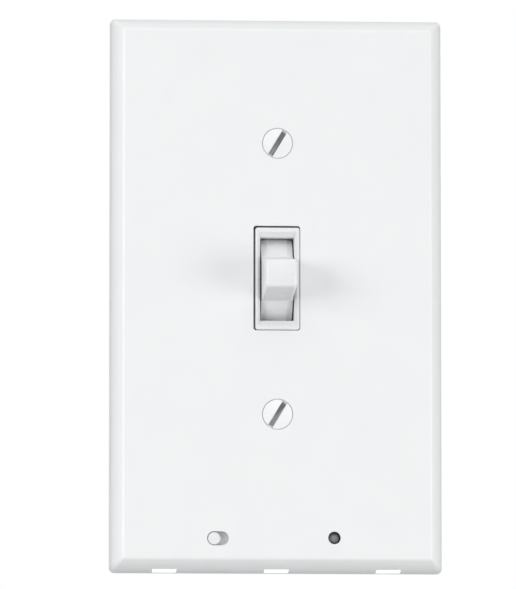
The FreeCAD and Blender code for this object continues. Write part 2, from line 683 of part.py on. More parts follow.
def bevel_section(share):
    """The plate's section at a share of the bevel's turn, which follows an arc from the rim to the front face."""
    start = "bevel_start * 1 deg"
    lean = f"(bevel_start + (bevel_end - bevel_start) * {share}) * 1 deg"
    radius = f"((plate_depth - rim_depth) / (sin(bevel_end * 1 deg) - sin({start})))"
    depth = f"rim_depth + {radius} * (sin({lean}) - sin({start}))"
    inset = f"rim_draft + {radius} * (cos({start}) - cos({lean}))"
    corner = f"plate_corner + (bevel_corner - plate_corner) * {share}"
    return "XZ_Plane", f"-({depth})", plate_section(inset, f"({corner})")


def face_plate():
    body = new_body("face_plate")
    shoulder = "-rim_depth"
    front = "-plate_depth"
    inner_front = "-plate_depth + plate_skin"
    rim_end = ("XZ_Plane", shoulder, plate_section("rim_draft", "plate_corner"))
    loft(body, [("XZ_Plane", "0", plate_section("0", "plate_corner")), rim_end])
    loft(body, [rim_end, *(bevel_section(share) for share in BEVEL_SHARES)], straight=False)
    round_edges(body, "face_softening", lies_at("y", number(front)))
    loft(
        body,
        [
            ("XZ_Plane", "0", plate_section("plate_skin", "cavity_corner")),
            ("XZ_Plane", shoulder, plate_section("plate_skin + rim_draft", "cavity_corner")),
            ("XZ_Plane", inner_front, plate_section("plate_skin + rim_draft + cavity_lean", "cavity_corner")),
        ],
        cut=True,
    )
    for sign in ("", "-"):
        place_z = f"{sign}plate_screw_up"
        boss = circle("0", place_z, "boss_radius")
        prism(body, "XZ_Plane", f"{inner_front} - bite", f"{inner_front} + boss_height", boss)
    for sign in ("", "-"):
        boss = circle(f"{sign}cover_screw_x", "cover_screw_z", "cover_boss")
        prism(body, "XZ_Plane", f"{inner_front} - bite", "-cover_thick", boss)
        pilot = circle(f"{sign}cover_screw_x", "cover_screw_z", "cover_pilot")
        prism(body, "XZ_Plane", f"{inner_front} + pilot_floor", "-cover_thick + bite", pilot, cut=True)
    for sign in ("", "-"):
        place_z = f"{sign}plate_screw_up"
        passage = circle("0", place_z, "screw_passage")
        prism(body, "XZ_Plane", f"{front} - bite", f"{inner_front} + boss_height + bite", passage, cut=True)
        rim = circle("0", place_z, "seat_radius")
        prism(body, "XZ_Plane", f"{front} - bite", f"{front} + seat_rim", rim, cut=True)
        cone_top = circle("0", place_z, "plate_head + seat_play")
        cone_end = circle("0", place_z, "thread_radius + seat_play")
        cone_back = f"{front} + seat_rim + plate_head_cone"
        loft(body, [("XZ_Plane", f"{front} + seat_rim", cone_top), ("XZ_Plane", cone_back, cone_end)], cut=True)
    window = rounded(
        "-toggle_window_width / 2 - window_left",
        "toggle_window_width / 2 - window_left",
        "-toggle_window_height / 2 + window_up",
        "toggle_window_height / 2 + window_up",
        "window_corner",
    )
    slot = stadium(
        "mode_x - mode_slot_length / 2", "mode_x + mode_slot_length / 2", "mode_z", "mode_slot_width / 2"
    )
    eye = circle("sensor_x", "sensor_z", "sensor_hole")
    openings = several(window, slot, eye)
    prism(body, "XZ_Plane", f"{front} - bite", f"{inner_front} + bite", openings, cut=True)
    for place_x in ("-light_pitch", "0", "light_pitch"):
        light = rectangle(
            f"{place_x} - light_width / 2", f"{place_x} + light_width / 2", "-light_front", "-light_back"
        )
        prism(body, "XY_Plane", "-plate_down - bite", "-plate_down + light_reach", light, cut=True)


def light_lens(label, place_x):
    """A window block whose outer side follows the rim and the bevel, just inside them."""
    body = new_body(label)
    outer = "-plate_down + light_fit"
    front = "-light_front + light_fit"
    back = "-light_back - light_fit"
    drawing = outline(
        (back, f"{outer} + rim_draft * light_back / rim_depth"),
        (back, "-plate_down + lens_length"),
        (front, "-plate_down + lens_length"),
        (front, f"{outer} + rim_draft + lens_inset + (light_front - rim_depth) * lens_slope"),
        ("-rim_depth", f"{outer} + rim_draft + lens_inset"),
    )
    half = "(light_width / 2 - light_fit)"
    prism(body, "YZ_Plane", f"{place_x} - {half}", f"{place_x} + {half}", drawing)


def light_diode(label, place_x):
    """A side-firing LED on the board's lower edge, behind its window."""
    package = block(
        label + "_package",
        (f"{place_x} - diode_half", f"{place_x} + diode_half"),
        ("board_front - diode_rise", "board_front"),
        ("board_bottom", "board_bottom + diode_height"),
        kept=False,
    )
    lens = block(
        label + "_lens",
        (f"{place_x} - diode_die_half", f"{place_x} + diode_die_half"),
        ("board_front - diode_die_rise", "board_front - diode_die_back"),
        ("board_bottom - diode_die_out", "board_bottom"),
        kept=False,
    )
    joined(label, package, lens)


def circuit_board():
    body = new_body("circuit_board")
    edge = rounded("-board_half", "board_half", "board_bottom", "board_top", "board_corner")
    prism(body, "XZ_Plane", "board_front", "board_front + board_thick", edge)


def mode_switch():
    block(
        "mode_switch_body",
        ("mode_x - slide_half_width", "mode_x + slide_half_width"),
        ("board_front - slide_rise", "board_front"),
        ("mode_z - slide_half_height", "mode_z + slide_half_height"),
    )
    body = new_body("mode_switch_knob")
    rest_x = "mode_x - mode_travel / 2"
    inner_front = "-plate_depth + plate_skin"
    shoe = rectangle(f"{rest_x} - shoe_left", f"{rest_x} + shoe_right", "mode_z - shoe_half", "mode_z + shoe_half")
    prism(body, "XZ_Plane", f"{inner_front} + shoe_gap", f"{inner_front} + shoe_gap + shoe_thick", shoe)
    button = circle(rest_x, "mode_z", "mode_knob_radius")
    crown = "-plate_depth + mode_knob_recess"
    prism(body, "XZ_Plane", crown, f"{inner_front} + knob_root", button)
    round_edges(body, "knob_rounding", lies_at("y", number(crown)))


def light_sensor():
    """A clear domed sensor standing on the board behind its hole."""
    body = new_body("light_sensor")
    top = "plate_depth + board_front - sensor_recess"
    turned(
        body,
        outline(
            ("0", "0"),
            ("sensor_radius + sensor_flange", "0"),
            ("sensor_radius + sensor_flange", "sensor_flange_rise"),
            ("sensor_radius", "sensor_flange_rise"),
            ("sensor_radius", f"{top} - sensor_radius", "sensor_radius"),
            ("0", top),
        ),
    )
    place(body, "sensor_x", "board_front", "sensor_z", FRONT)


def board_parts():
    """The parts on the back of the board: rectifier, control chip, capacitor and resistors."""
    back = "board_front + board_thick"
    middle = "(board_top + board_bottom) / 2"

    def standing(label, x, width, height, rise):
        return block(
            label,
            (f"{x} - {width} / 2", f"{x} + {width} / 2"),
            (back, f"{back} + {rise}"),
            (f"{middle} - {height} / 2", f"{middle} + {height} / 2"),
            kept=False,
        )

    def cased(label, name, x, ends):
        """A case with its leads or ends, whose dimensions start with its name."""
        case = standing(f"{label}_case", x, f"{name}_width", f"{name}_height", f"{name}_rise")
        joined(label, case, *ends)

    def pair_of_ends(label, name, x):
        return standing(f"{label}_ends", x, f"{name}_width", f"{name}_height", f"{name}_rise")

    rectifier_leads = pair_of_ends("bridge_rectifier", "rectifier_lead", "rectifier_x")
    cased("bridge_rectifier", "rectifier", "rectifier_x", [rectifier_leads])
    chip_leads = []
    for index in range(CHIP_LEADS):
        lead_x = f"chip_x + chip_pitch * ({index} - {CHIP_LEADS - 1} / 2)"
        chip_leads.append(pair_of_ends(f"control_chip_{index}", "chip_lead", lead_x))
    cased("control_chip", "chip", "chip_x", chip_leads)
    cased("capacitor", "capacitor", "capacitor_x", [pair_of_ends("capacitor", "capacitor_end", "capacitor_x")])
    for index in (1, 2, 3):
        label = f"resistor_{index}"
        place_x = f"resistor_x + resistor_pitch * ({index} - 2)"
        cased(label, "resistor", place_x, [pair_of_ends(label, "resistor_end", place_x)])


def rear_cover():
    """The lid behind the electronics, with a wall along its upper edge that lets the two brass runs through."""
    body = new_body("rear_cover")
    plate = rounded("-cover_half", "cover_half", "cover_bottom", "cover_top", "cover_corner")
    prism(body, "XZ_Plane", "-cover_thick", "0", plate)
    wall_half = "(cover_half - cover_wall_inset)"
    wall = rectangle(f"-{wall_half}", wall_half, "cover_top - cover_wall", "cover_top")
    inner_front = "-plate_depth + plate_skin"
    prism(body, "XZ_Plane", f"{inner_front} + cover_wall_gap", "-cover_thick / 2", wall)
    low, high = "cover_top - cover_wall - bite", "cover_top + bite"
    gates = several(
        rectangle("lower_run_x - gate_play", "lower_run_x + run_width + gate_play", low, high),
        rectangle("upper_run_x - gate_play", "upper_run_x + run_width + gate_play", low, high),
    )
    prism(body, "XZ_Plane", f"{inner_front} - bite", f"{inner_front} + gate_depth", gates, cut=True)
    holes = several(
        circle("cover_screw_x", "cover_screw_z", "small_thread + small_play"),
        circle("-cover_screw_x", "cover_screw_z", "small_thread + small_play"),
    )
    prism(body, "XZ_Plane", "-cover_thick - bite", "bite", holes, cut=True)
    seats = several(
        circle("cover_screw_x", "cover_screw_z", "small_head + small_seat_play"),
        circle("-cover_screw_x", "cover_screw_z", "small_head + small_seat_play"),
    )
    prism(body, "XZ_Plane", "-small_head_rise", "bite", seats, cut=True)


# ---- prongs ------------------------------------------------------------------------------------------------------


def prong(label, centre_z, run_x):
    """A plastic arm that reaches back beside the switch, on a flange that holds its brass strip to the plate."""
    inner_front = "-plate_depth + plate_skin"
    low = f"{centre_z} - flange_height / 2"
    high = f"{centre_z} + flange_height / 2"
    arm = new_body(f"prong_arm_{label}")
    flange = rounded("flange_inner", "flange_outer", low, high, "flange_corner")
    prism(arm, "XZ_Plane", inner_front, "flange_back", flange)
    upright_low, upright_high = f"{centre_z} - prong_height / 2", f"{centre_z} + prong_height / 2"
    upright = rectangle("prong_inner", "prong_outer", upright_low, upright_high)
    prism(arm, "XZ_Plane", "flange_back - bite", "prong_reach", upright)
    round_edges(arm, "prong_rounding", lies_at("y", number("prong_reach")))
    strip_front = f"{inner_front} + strip_gap"
    strip_back = f"{strip_front} + strip_thick"
    strip_low = f"{centre_z} - strip_height / 2"
    strip_high = f"{centre_z} + strip_height / 2"
    channel = rectangle(
        "flange_inner + channel_start",
        f"{run_x} + run_width + strip_play",
        f"{strip_low} - strip_play",
        f"{strip_high} + strip_play",
    )
    prism(arm, "XZ_Plane", f"{inner_front} - bite", f"{strip_back} + bite", channel, cut=True)
    way_out = rectangle(f"{run_x} - strip_play", f"{run_x} + run_width + strip_play", f"{low} - bite", centre_z)
    prism(arm, "XZ_Plane", f"{inner_front} - bite", f"{strip_back} + bite", way_out, cut=True)
    if label == "lower":
        way_past = rectangle(
            "upper_run_x - strip_play", "upper_run_x + run_width + strip_play", f"{low} - bite", f"{high} + bite"
        )
        prism(arm, "XZ_Plane", f"{inner_front} - bite", f"{strip_back} + bite", way_past, cut=True)
    passage = rectangle(
        "prong_inner - strip_thick - strip_play",
        "prong_inner",
        f"{strip_low} - strip_play",
        f"{strip_high} + strip_play",
    )
    prism(arm, "XZ_Plane", f"{inner_front} - bite", "flange_back + bite", passage, cut=True)

    strip = new_body(f"prong_contact_{label}")
    across = rectangle("prong_inner - strip_thick", f"{run_x} + run_width", strip_low, strip_high)
    prism(strip, "XZ_Plane", strip_front, strip_back, across)
    foot_low = "board_top - foot_drop - strip_thick"
    run = rectangle(run_x, f"{run_x} + run_width", foot_low, f"{strip_low} + strip_lap")
    prism(strip, "XZ_Plane", strip_front, strip_back, run)
    foot = rectangle(run_x, f"{run_x} + run_width", foot_low, "board_top - foot_drop")
    prism(strip, "XZ_Plane", strip_front, "board_front", foot)
    back = rectangle("prong_inner - strip_thick", "prong_inner", strip_front, "bow_end")
    prism(strip, "XY_Plane", strip_low, strip_high, back)
    rise = "(prong_inner - bow_top - strip_thick)"
    half_bow = "((bow_end - bow_start) / 2)"
    inner_radius = f"({half_bow} * {half_bow} + {rise} * {rise}) / (2 * {rise})"
    bow = outline(
        ("prong_inner - strip_thick / 2", "bow_start - strip_thick"),
        ("prong_inner - strip_thick / 2", "bow_start + strip_thick"),
        ("prong_inner - strip_thick", "bow_start + strip_thick", f"-({inner_radius})"),
        ("prong_inner - strip_thick", "bow_end - strip_thick"),
        ("prong_inner - strip_thick / 2", "bow_end - strip_thick"),
        ("prong_inner - strip_thick / 2", "bow_end"),
        ("prong_inner - strip_thick", "bow_end", f"{inner_radius} + strip_thick"),
        ("prong_inner - strip_thick", "bow_start - strip_thick"),
    )
    prism(strip, "XY_Plane", f"{strip_low} + bow_inset", f"{strip_high} - bow_inset", bow)


# ---- switch ------------------------------------------------------------------------------------------------------


def mounting_strap():
    body = new_body("mounting_strap")
    half = "strap_half_width"
    ear = "ear_half_width"
    end = "strap_half_length"
    drawing = outline(
        (half, "-ear_start"),
        (half, "ear_start"),
        (ear, "ear_full"),
        (ear, f"{end} - ear_clip"),
        (f"{ear} - ear_clip", end),
        (f"-{ear} + ear_clip", end),
        (f"-{ear}", f"{end} - ear_clip"),
        (f"-{ear}", "ear_full"),
        (f"-{half}", "ear_start"),
        (f"-{half}", "-ear_start"),
        (f"-{ear}", "-ear_full"),
        (f"-{ear}", f"-{end} + ear_clip"),
        (f"-{ear} + ear_clip", f"-{end}"),
        (f"{ear} - ear_clip", f"-{end}"),
        (ear, f"-{end} + ear_clip"),
        (ear, "-ear_full"),
    )
    prism(body, "XZ_Plane", "-strap_thick", "0", drawing)
    tab = rectangle(f"-{half}", f"-{half} + strap_thick", "-strap_thick", "tab_back")
    prism(body, "XY_Plane", "tab_low", "tab_high", tab)
    tab_end = lies_at("y", number("tab_back"))
    round_edges(body, "tab_rounding", lambda edge: tab_end(edge) and edge.BoundBox.ZLength < 0.01)
    window = rectangle_about("toggle_window_width / 2", "toggle_window_height / 2")
    prism(body, "XZ_Plane", "-strap_thick - bite", "bite", window, cut=True)
    for sign in ("", "-"):
        screw_hole = circle("0", f"{sign}plate_screw_up", "thread_room")
        rivet_holes = [circle(f"{side}rivet_x", f"{sign}rivet_z", "rivet_hole") for side in ("", "-")]
        prism(body, "XZ_Plane", "-strap_thick - bite", "bite", several(screw_hole, *rivet_holes), cut=True)
        half_slot = "box_slot_length / 2"
        box_slot = stadium(f"-({half_slot})", half_slot, f"{sign}box_screw_up", "box_slot_width / 2")
        prism(body, "XZ_Plane", "-strap_thick - bite", "bite", box_slot, cut=True)
        for side in ("", "-"):
            ear_slot = rectangle(
                f"{side}ear_slot_x - ear_slot_width / 2",
                f"{side}ear_slot_x + ear_slot_width / 2",
                f"{sign}(box_screw_up + ear_slot_up) - ear_slot_length / 2",
                f"{sign}(box_screw_up + ear_slot_up) + ear_slot_length / 2",
            )
            prism(body, "XZ_Plane", "-strap_thick - bite", "bite", ear_slot, cut=True)
    tapped = circle("ground_y", "ground_z", "terminal_thread + tap_play")
    prism(body, "YZ_Plane", f"-{half} - bite", f"-{half} + strap_thick + bite", tapped, cut=True)


def front_housing():
    """The moulded front of the switch: neck, face under the strap, rim, and the cheeks that carry the lever."""
    body = new_body("front_housing")
    half_width = "body_half_width"
    half_height = "body_half_height"
    face = rounded(f"-{half_width}", half_width, f"-{half_height}", half_height, "body_corner")
    prism(body, "XZ_Plane", "0", "body_split", face)
    room = rectangle_about(f"{half_width} - body_wall", f"{half_height} - body_wall")
    prism(body, "XZ_Plane", "body_wall", "body_split + bite", room, cut=True)
    cheeks = several(
        rectangle("cheek_inner", "cheek_outer", "-drum_room_half", "drum_room_half"),
        rectangle("-cheek_outer", "-cheek_inner", "-drum_room_half", "drum_room_half"),
    )
    prism(body, "XZ_Plane", "body_wall - bite", "body_split", cheeks)
    bars = several(
        rectangle("-cheek_inner - bite", "cheek_inner + bite", "bar_low", "bar_high"),
        rectangle("-cheek_inner - bite", "cheek_inner + bite", "-bar_high", "-bar_low"),
    )
    prism(body, "XZ_Plane", "bar_front", "body_split", bars)
    neck_half_width = "neck_width / 2"
    neck_half_height = "neck_height / 2"
    neck = rounded(
        f"-({neck_half_width})", neck_half_width, f"-({neck_half_height})", neck_half_height, "neck_corner"
    )
    prism(body, "XZ_Plane", "-neck_front", "bite", neck)
    throat = rectangle_about("throat_width / 2", "throat_height / 2")
    prism(body, "XZ_Plane", "-neck_front - bite", "body_wall + bite", throat, cut=True)
    pocket = rectangle_about("cheek_inner", "drum_pocket_half")
    prism(body, "XZ_Plane", "-drum_pocket_front", "bite", pocket, cut=True)
    room_behind = rectangle_about("cheek_inner", "drum_room_half")
    prism(body, "XZ_Plane", "0", "body_wall + bite", room_behind, cut=True)
    wide = rectangle_about("throat_width / 2 + throat_slope_side", "throat_height / 2 + throat_slope_end")
    narrow = rectangle_about("throat_width / 2", "throat_height / 2")
    loft(
        body,
        [
            ("XZ_Plane", "-neck_front - hair", wide),
            ("XZ_Plane", "-neck_front + throat_slope_depth", narrow),
        ],
        cut=True,
    )
    bearing = circle("pivot_y", "0", "trunnion_radius + trunnion_play")
    prism(body, "YZ_Plane", "-cheek_outer - bite", "cheek_outer + bite", bearing, cut=True)
    bearing_radius = "(trunnion_radius + trunnion_play)"
    mouth = rectangle("pivot_y", "body_split + bite", f"-{bearing_radius}", bearing_radius)
    prism(body, "YZ_Plane", "-cheek_outer - bite", "cheek_outer + bite", mouth, cut=True)
    holes = [circle(f"{side}rivet_x", f"{sign}rivet_z", "rivet_hole") for side in ("", "-") for sign in ("", "-")]
    prism(body, "XZ_Plane", "-bite", "body_wall + bite", several(*holes), cut=True)


def rear_housing():
    """The moulded back of the switch, with the terminal windows on its right and the push-in wire holes."""
    body = new_body("rear_housing")
    half_width = "body_half_width"
    half_height = "body_half_height"
    floor = "body_back - body_wall"
    shell = rounded(f"-{half_width}", half_width, f"-{half_height}", half_height, "body_corner")
    prism(body, "XZ_Plane", "body_split", "body_back", shell)
    round_edges(body, "back_rounding", lies_at("y", number("body_back")))
    room = rectangle_about(f"{half_width} - body_wall", f"{half_height} - body_wall")
    prism(body, "XZ_Plane", "body_split - bite", floor, room, cut=True)
    keepers = several(
        rectangle("cheek_inner + keeper_inset", "cheek_outer - keeper_inset", "-keeper_half", "keeper_half"),
        rectangle("-cheek_outer + keeper_inset", "-cheek_inner - keeper_inset", "-keeper_half", "keeper_half"),
    )
    prism(body, "XZ_Plane", "pivot_y + trunnion_radius + 2 * trunnion_play", f"{floor} + bite", keepers)
    for sign in ("", "-"):
        centre_z = f"{sign}wire_z"
        left, right = "wire_x - wire_boss_left", f"{half_width} - body_wall + bite"
        boss = rectangle(left, right, f"{centre_z} - wire_boss_half", f"{centre_z} + wire_boss_half")
        prism(body, "XZ_Plane", f"{floor} - wire_boss", f"{floor} + bite", boss)
    for sign in ("", "-"):
        centre_z = f"{sign}wire_z"
        hole = circle("wire_x", centre_z, "wire_radius")
        prism(body, "XZ_Plane", f"{floor} - wire_boss - bite", "body_back + bite", hole, cut=True)
        release = rectangle(
            "release_x - release_width / 2",
            "release_x + release_width / 2",
            f"{centre_z} - release_height / 2",
            f"{centre_z} + release_height / 2",
        )
        prism(body, "XZ_Plane", f"{floor} - bite", "body_back + bite", release, cut=True)
        terminal = rectangle(
            "terminal_window_front",
            "terminal_window_back",
            f"{sign}prong_z - terminal_window_half",
            f"{sign}prong_z + terminal_window_half",
        )
        prism(body, "YZ_Plane", f"{half_width} - body_wall - bite", f"{half_width} + bite", terminal, cut=True)


def strap_rivets():
    """The four rivets that hold strap and front housing together: one solid each, in one sub-part."""
    rivets = []
    shank_length = "strap_thick + body_wall + rivet_head_rise"
    for side in ("", "-"):
        for sign in ("", "-"):
            parts = []
            for name, radius, start, length in (
                ("head", "rivet_head", "-strap_thick - rivet_head_rise", "rivet_head_rise"),
                ("shank", "rivet_hole - rivet_play", "-strap_thick - rivet_head_rise / 2", shank_length),
                ("tail", "rivet_tail", "body_wall", "rivet_tail_rise"),
            ):
                item = document.addObject("Part::Cylinder", f"rivet_{name}")
                tie(item, "Radius", radius)
                tie(item, "Height", length)
                place(item, f"{side}rivet_x", start, f"{sign}rivet_z", BACK)
                parts.append(item)
            rivet = document.addObject("Part::MultiFuse", "rivet")
            rivet.Shapes = parts
            rivet.Refine = True
            rivets.append(rivet)
    group = document.addObject("Part::Compound", "strap_rivets")
    group.Label = "strap_rivets"
    group.Links = rivets
    keep(group)


def toggle_lever():
    """Lever, drum, trunnions and cam foot in one moulding, drawn about its own axis: y is out of the wall when
    negative, and the tip points straight out at rest."""
    body = new_body("toggle_lever")
    tip = "-(pivot_y + plate_depth + lever_out)"
    flare_start = "-(sqrt(drum_radius * drum_radius - lever_flare * lever_flare)) + flare_sink"
    flare_end = f"{flare_start} - flare_length"
    profile = outline(
        ("-lever_core", "-lever_flare"),
        (flare_start, "-lever_flare", "-flare_radius"),
        (flare_end, "-lever_root"),
        (tip, "-lever_tip", "-lever_crown"),
        (tip, "lever_tip"),
        (flare_end, "lever_root", "-flare_radius"),
        (flare_start, "lever_flare"),
        ("-lever_core", "lever_flare"),
    )
    prism(body, "YZ_Plane", "-drum_half", "drum_half", profile)

    def outside(edge):
        near, far = number(flare_end) + number("hair"), number(flare_end) - number("lever_softening")
        return edge.BoundBox.YMax < near and edge.BoundBox.YMin < far

    round_edges(body, "lever_softening", outside)
    edge_in = "drum_half - drum_edge"
    edge_down = "drum_radius - drum_edge_depth"
    drum = outline(
        ("-drum_half", "0"),
        ("-drum_half", f"-({edge_down})"),
        (f"-({edge_in})", "-drum_radius"),
        (edge_in, "-drum_radius"),
        ("drum_half", f"-({edge_down})"),
        ("drum_half", "0"),
    )
    turned(body, drum, axis="H_Axis", plane="XY_Plane", angle=DRUM_SWEEP)
    hub = circle("0", "0", "trunnion_radius + hub_wall")
    prism(body, "YZ_Plane", "-foot_half_width", "foot_half_width", hub)
    cam_edge = "sqrt(cam_radius * cam_radius - (foot_half_height - cam_offset) * (foot_half_height - cam_offset))"
    cam_far = "sqrt(cam_radius * cam_radius - (foot_half_height + cam_offset) * (foot_half_height + cam_offset))"
    foot = outline(
        ("-lever_core", "foot_half_height"),
        ("-lever_core", "-foot_half_height"),
        (cam_edge, "-foot_half_height", "cam_radius"),
        (cam_far, "foot_half_height"),
    )
    prism(body, "YZ_Plane", "-foot_half_width", "foot_half_width", foot)
    pin = circle("0", "0", "trunnion_radius")
    prism(body, "YZ_Plane", "-trunnion_end", "trunnion_end", pin)
    place(body, "0", "pivot_y", "0")


def stop_bumper(label, sign):
    low, high = ("bar_low + bumper_play", "bumper_high") if sign > 0 else ("-bumper_high", "-bar_low - bumper_play")
    block(f"stop_bumper_{label}", ("-bumper_half", "bumper_half"), ("bumper_front", "bar_front"), (low, high))


def contact_arm():
    """The spring-brass arm: it swings on two pins, and its ridge rides on the lever's cam."""
    body = new_body("contact_arm")
    back = "arm_front + arm_thick"
    blade = rectangle("-arm_half", "arm_half", "arm_pivot_z - arm_tail", "arm_top")
    prism(body, "XZ_Plane", "arm_front", back, blade)
    round_edges(body, "arm_rounding", runs_along("y", number("arm_thick") / 2))
    hole = circle("0", "contact_z", "contact_shank + shank_play")
    prism(body, "XZ_Plane", "arm_front - bite", f"{back} + bite", hole, cut=True)
    ridge_y = "pivot_y + cam_radius + follower_play + follower_radius"
    ridge = circle(ridge_y, "0", "follower_radius")
    prism(body, "YZ_Plane", "-arm_half + ridge_inset", "arm_half - ridge_inset", ridge)
    pin = circle("arm_front + arm_thick / 2", "arm_pivot_z", "arm_pin")
    prism(body, "YZ_Plane", "-arm_half - arm_pin_reach", "arm_half + arm_pin_reach", pin)


def contact_rivet(label, face_y, sign):
    """A silver contact: its face towards the other contact, its shank closed behind the plate that it is in."""
    body = new_body(label)
    thick = "arm_thick" if sign < 0 else "busbar_thick"
    turned(
        body,
        outline(
            ("0", "0"),
            ("contact_radius - contact_edge", "0", "contact_edge_radius"),
            ("contact_radius", "-contact_edge"),
            ("contact_radius", "-contact_thick"),
            ("contact_shank", "-contact_thick"),
            ("contact_shank", f"-contact_thick - {thick}"),
            ("contact_shank + contact_head", f"-contact_thick - {thick}"),
            ("contact_shank + contact_head_taper", f"-contact_thick - {thick} - contact_tail"),
            ("0", f"-contact_thick - {thick} - contact_tail"),
        ),
    )
    place(body, "0", face_y, "contact_z", FRONT if sign < 0 else BACK)


def fixed_contact_plate():
    """The line side: a brass plate from the fixed contact to the upper terminal."""
    body = new_body("fixed_contact_plate")
    front = "(arm_front - 2 * contact_thick - contact_gap - busbar_thick)"
    end = "terminal_inner + busbar_thick"
    step = "body_half_width - body_wall - leaf_play"
    run = outline(
        ("-arm_half", "fixed_run_low"),
        (step, "fixed_run_low"),
        (step, "fixed_run_low + fixed_run_step"),
        (end, "fixed_run_low + fixed_run_step"),
        (end, "fixed_run_high"),
        ("-arm_half", "fixed_run_high"),
    )
    prism(body, "XZ_Plane", front, f"{front} + busbar_thick", run)
    hole = circle("0", "contact_z", "contact_shank + shank_play")
    prism(body, "XZ_Plane", f"{front} - bite", f"{front} + busbar_thick + bite", hole, cut=True)
    terminal_leaf(body, "prong_z")


def terminal_leaf(body, centre_z):
    """The leaf in a terminal window, tapped for its screw."""
    leaf = rectangle(
        "terminal_window_front + leaf_play",
        "terminal_window_back - leaf_play",
        f"{centre_z} - terminal_window_half + leaf_play",
        f"{centre_z} + terminal_window_half - leaf_play",
    )
    prism(body, "YZ_Plane", "terminal_inner", "terminal_inner + busbar_thick", leaf)
    hole = circle("terminal_y", centre_z, "terminal_thread + leaf_tap_play")
    prism(body, "YZ_Plane", "terminal_inner - bite", "terminal_inner + busbar_thick + bite", hole, cut=True)


def arm_terminal_plate():
    """The load side: a brass plate from the arm's pins to the lower terminal."""
    body = new_body("arm_terminal_plate")
    back = "arm_run_front + busbar_thick"
    ear_inner, ear_outer = "arm_half + ear_gap", "arm_half + ear_gap + ear_thick"
    run = rectangle(f"-({ear_outer})", "terminal_inner + busbar_thick", "arm_run_low", "arm_run_high")
    prism(body, "XZ_Plane", "arm_run_front", back, run)
    front = "arm_front + arm_thick / 2 - ear_front"
    ears = several(
        rectangle(ear_inner, ear_outer, front, back),
        rectangle(f"-({ear_outer})", f"-({ear_inner})", front, back),
    )
    prism(body, "XY_Plane", "arm_pivot_z - ear_low", "arm_pivot_z + ear_high", ears)
    bore = circle("arm_front + arm_thick / 2", "arm_pivot_z", "arm_pin + arm_pin_play")
    prism(body, "YZ_Plane", f"-({ear_outer}) - bite", f"{ear_outer} + bite", bore, cut=True)
    terminal_leaf(body, "-prong_z")


def wire_clamp(label, sign):
    """A spring leaf that traps a pushed-in wire against the terminal leaf."""
    body = new_body(f"wire_clamp_{label}")
    tip_x = "terminal_inner - 2 * wire_radius + clamp_bite"
    drawing = outline(
        ("clamp_x", "clamp_front"),
        ("clamp_x", "clamp_back"),
        ("clamp_x + clamp_thick", "clamp_back"),
        ("clamp_x + clamp_thick", "clamp_front + clamp_bend"),
        (tip_x, "clamp_front + clamp_edge"),
        (tip_x, "clamp_front"),
    )
    low, high = ("clamp_low", "clamp_high") if sign > 0 else ("-clamp_high", "-clamp_low")
    prism(body, "XY_Plane", low, high, drawing)


# ---- screws ------------------------------------------------------------------------------------------------------


def screw(label, drawing, slot_width, slot_depth, top, reach, where, turn):
    """A slotted screw, turned about its own axis with its head up, then set in place."""
    body = new_body(label)
    turned(body, drawing)
    slot = rectangle(f"-({reach})", reach, f"-{slot_width} / 2", f"{slot_width} / 2")
    prism(body, "XY_Plane", f"{top} - {slot_depth}", f"{top} + bite", slot, cut=True)
    place(body, *where, turn)


def plate_screw(label, sign):
    """Oval head in the plate's countersink, threaded into the strap."""
    rise = "plate_head_rise"
    dome = f"(plate_head * plate_head + {rise} * {rise}) / (2 * {rise})"
    drawing = outline(
        ("0", "-plate_screw_length"),
        ("thread_radius - plate_point", "-plate_screw_length"),
        ("thread_radius", "-plate_screw_length + plate_point_length"),
        ("thread_radius", "-plate_head_cone - head_sink"),
        ("plate_head", "-head_sink"),
        ("plate_head", "0", dome),
        ("0", rise),
    )
    turn = FRONT.multiply(about_own_axis(number("plate_slot_turn")))
    where = ("0", "-plate_depth + head_sink", f"{sign}plate_screw_up")
    screw(f"plate_screw_{label}", drawing, "plate_slot", "plate_slot_depth", rise, "plate_head + bite", where, turn)


def pan_screw(label, thread, head, rise, length, slot_width, where, turn, groove=()):
    """Flat-topped head with rounded shoulders; groove is the part of the outline that runs round one."""
    drawing = outline(
        ("0", f"-{length}"),
        (f"{thread} - point_in", f"-{length}"),
        (thread, f"-{length} + point_length"),
        *groove,
        (thread, "0"),
        (head, "0"),
        (head, f"{rise} * shoulder_low", f"{rise} * shoulder_radius"),
        (f"{head} - {rise} * shoulder_in", rise),
        ("0", rise),
    )
    screw(label, drawing, slot_width, f"{rise} * pan_slot_share", rise, f"{head} + bite", where, turn)


def box_screw(label, sign):
    """A box screw, with a groove behind the strap for the washer that keeps it there."""
    groove_end = "-strap_thick - retainer_thick - retainer_play"
    groove = (
        ("thread_radius", groove_end),
        ("retainer_groove", groove_end),
        ("retainer_groove", "-strap_thick"),
        ("thread_radius", "-strap_thick"),
    )
    pan_screw(
        f"box_screw_{label}",
        "thread_radius",
        "box_head",
        "box_head_rise",
        "box_screw_length",
        "pan_slot",
        ("0", "-strap_thick", f"{sign}box_screw_up"),
        FRONT,
        groove,
    )


def screw_retainer(label, sign):
    """The washer that keeps a box screw in its slot while the switch is loose."""
    body = new_body(f"screw_retainer_{label}")
    centre_z = f"{sign}box_screw_up"
    low, high = f"{centre_z} - retainer_half_height", f"{centre_z} + retainer_half_height"
    edge = rounded("-retainer_half_width", "retainer_half_width", low, high, "retainer_corner")
    prism(body, "XZ_Plane", "0", "retainer_thick", edge)
    hole = circle("0", centre_z, "retainer_groove + retainer_play")
    prism(body, "XZ_Plane", "-bite", "retainer_thick + bite", hole, cut=True)


def terminal_screw(label, where, direction, degrees):
    turn = direction.multiply(about_own_axis(degrees))
    pan_screw(
        label,
        "terminal_thread",
        "terminal_head",
        "terminal_head_rise",
        "terminal_screw_length",
        "pan_slot",
        where,
        turn,
    )


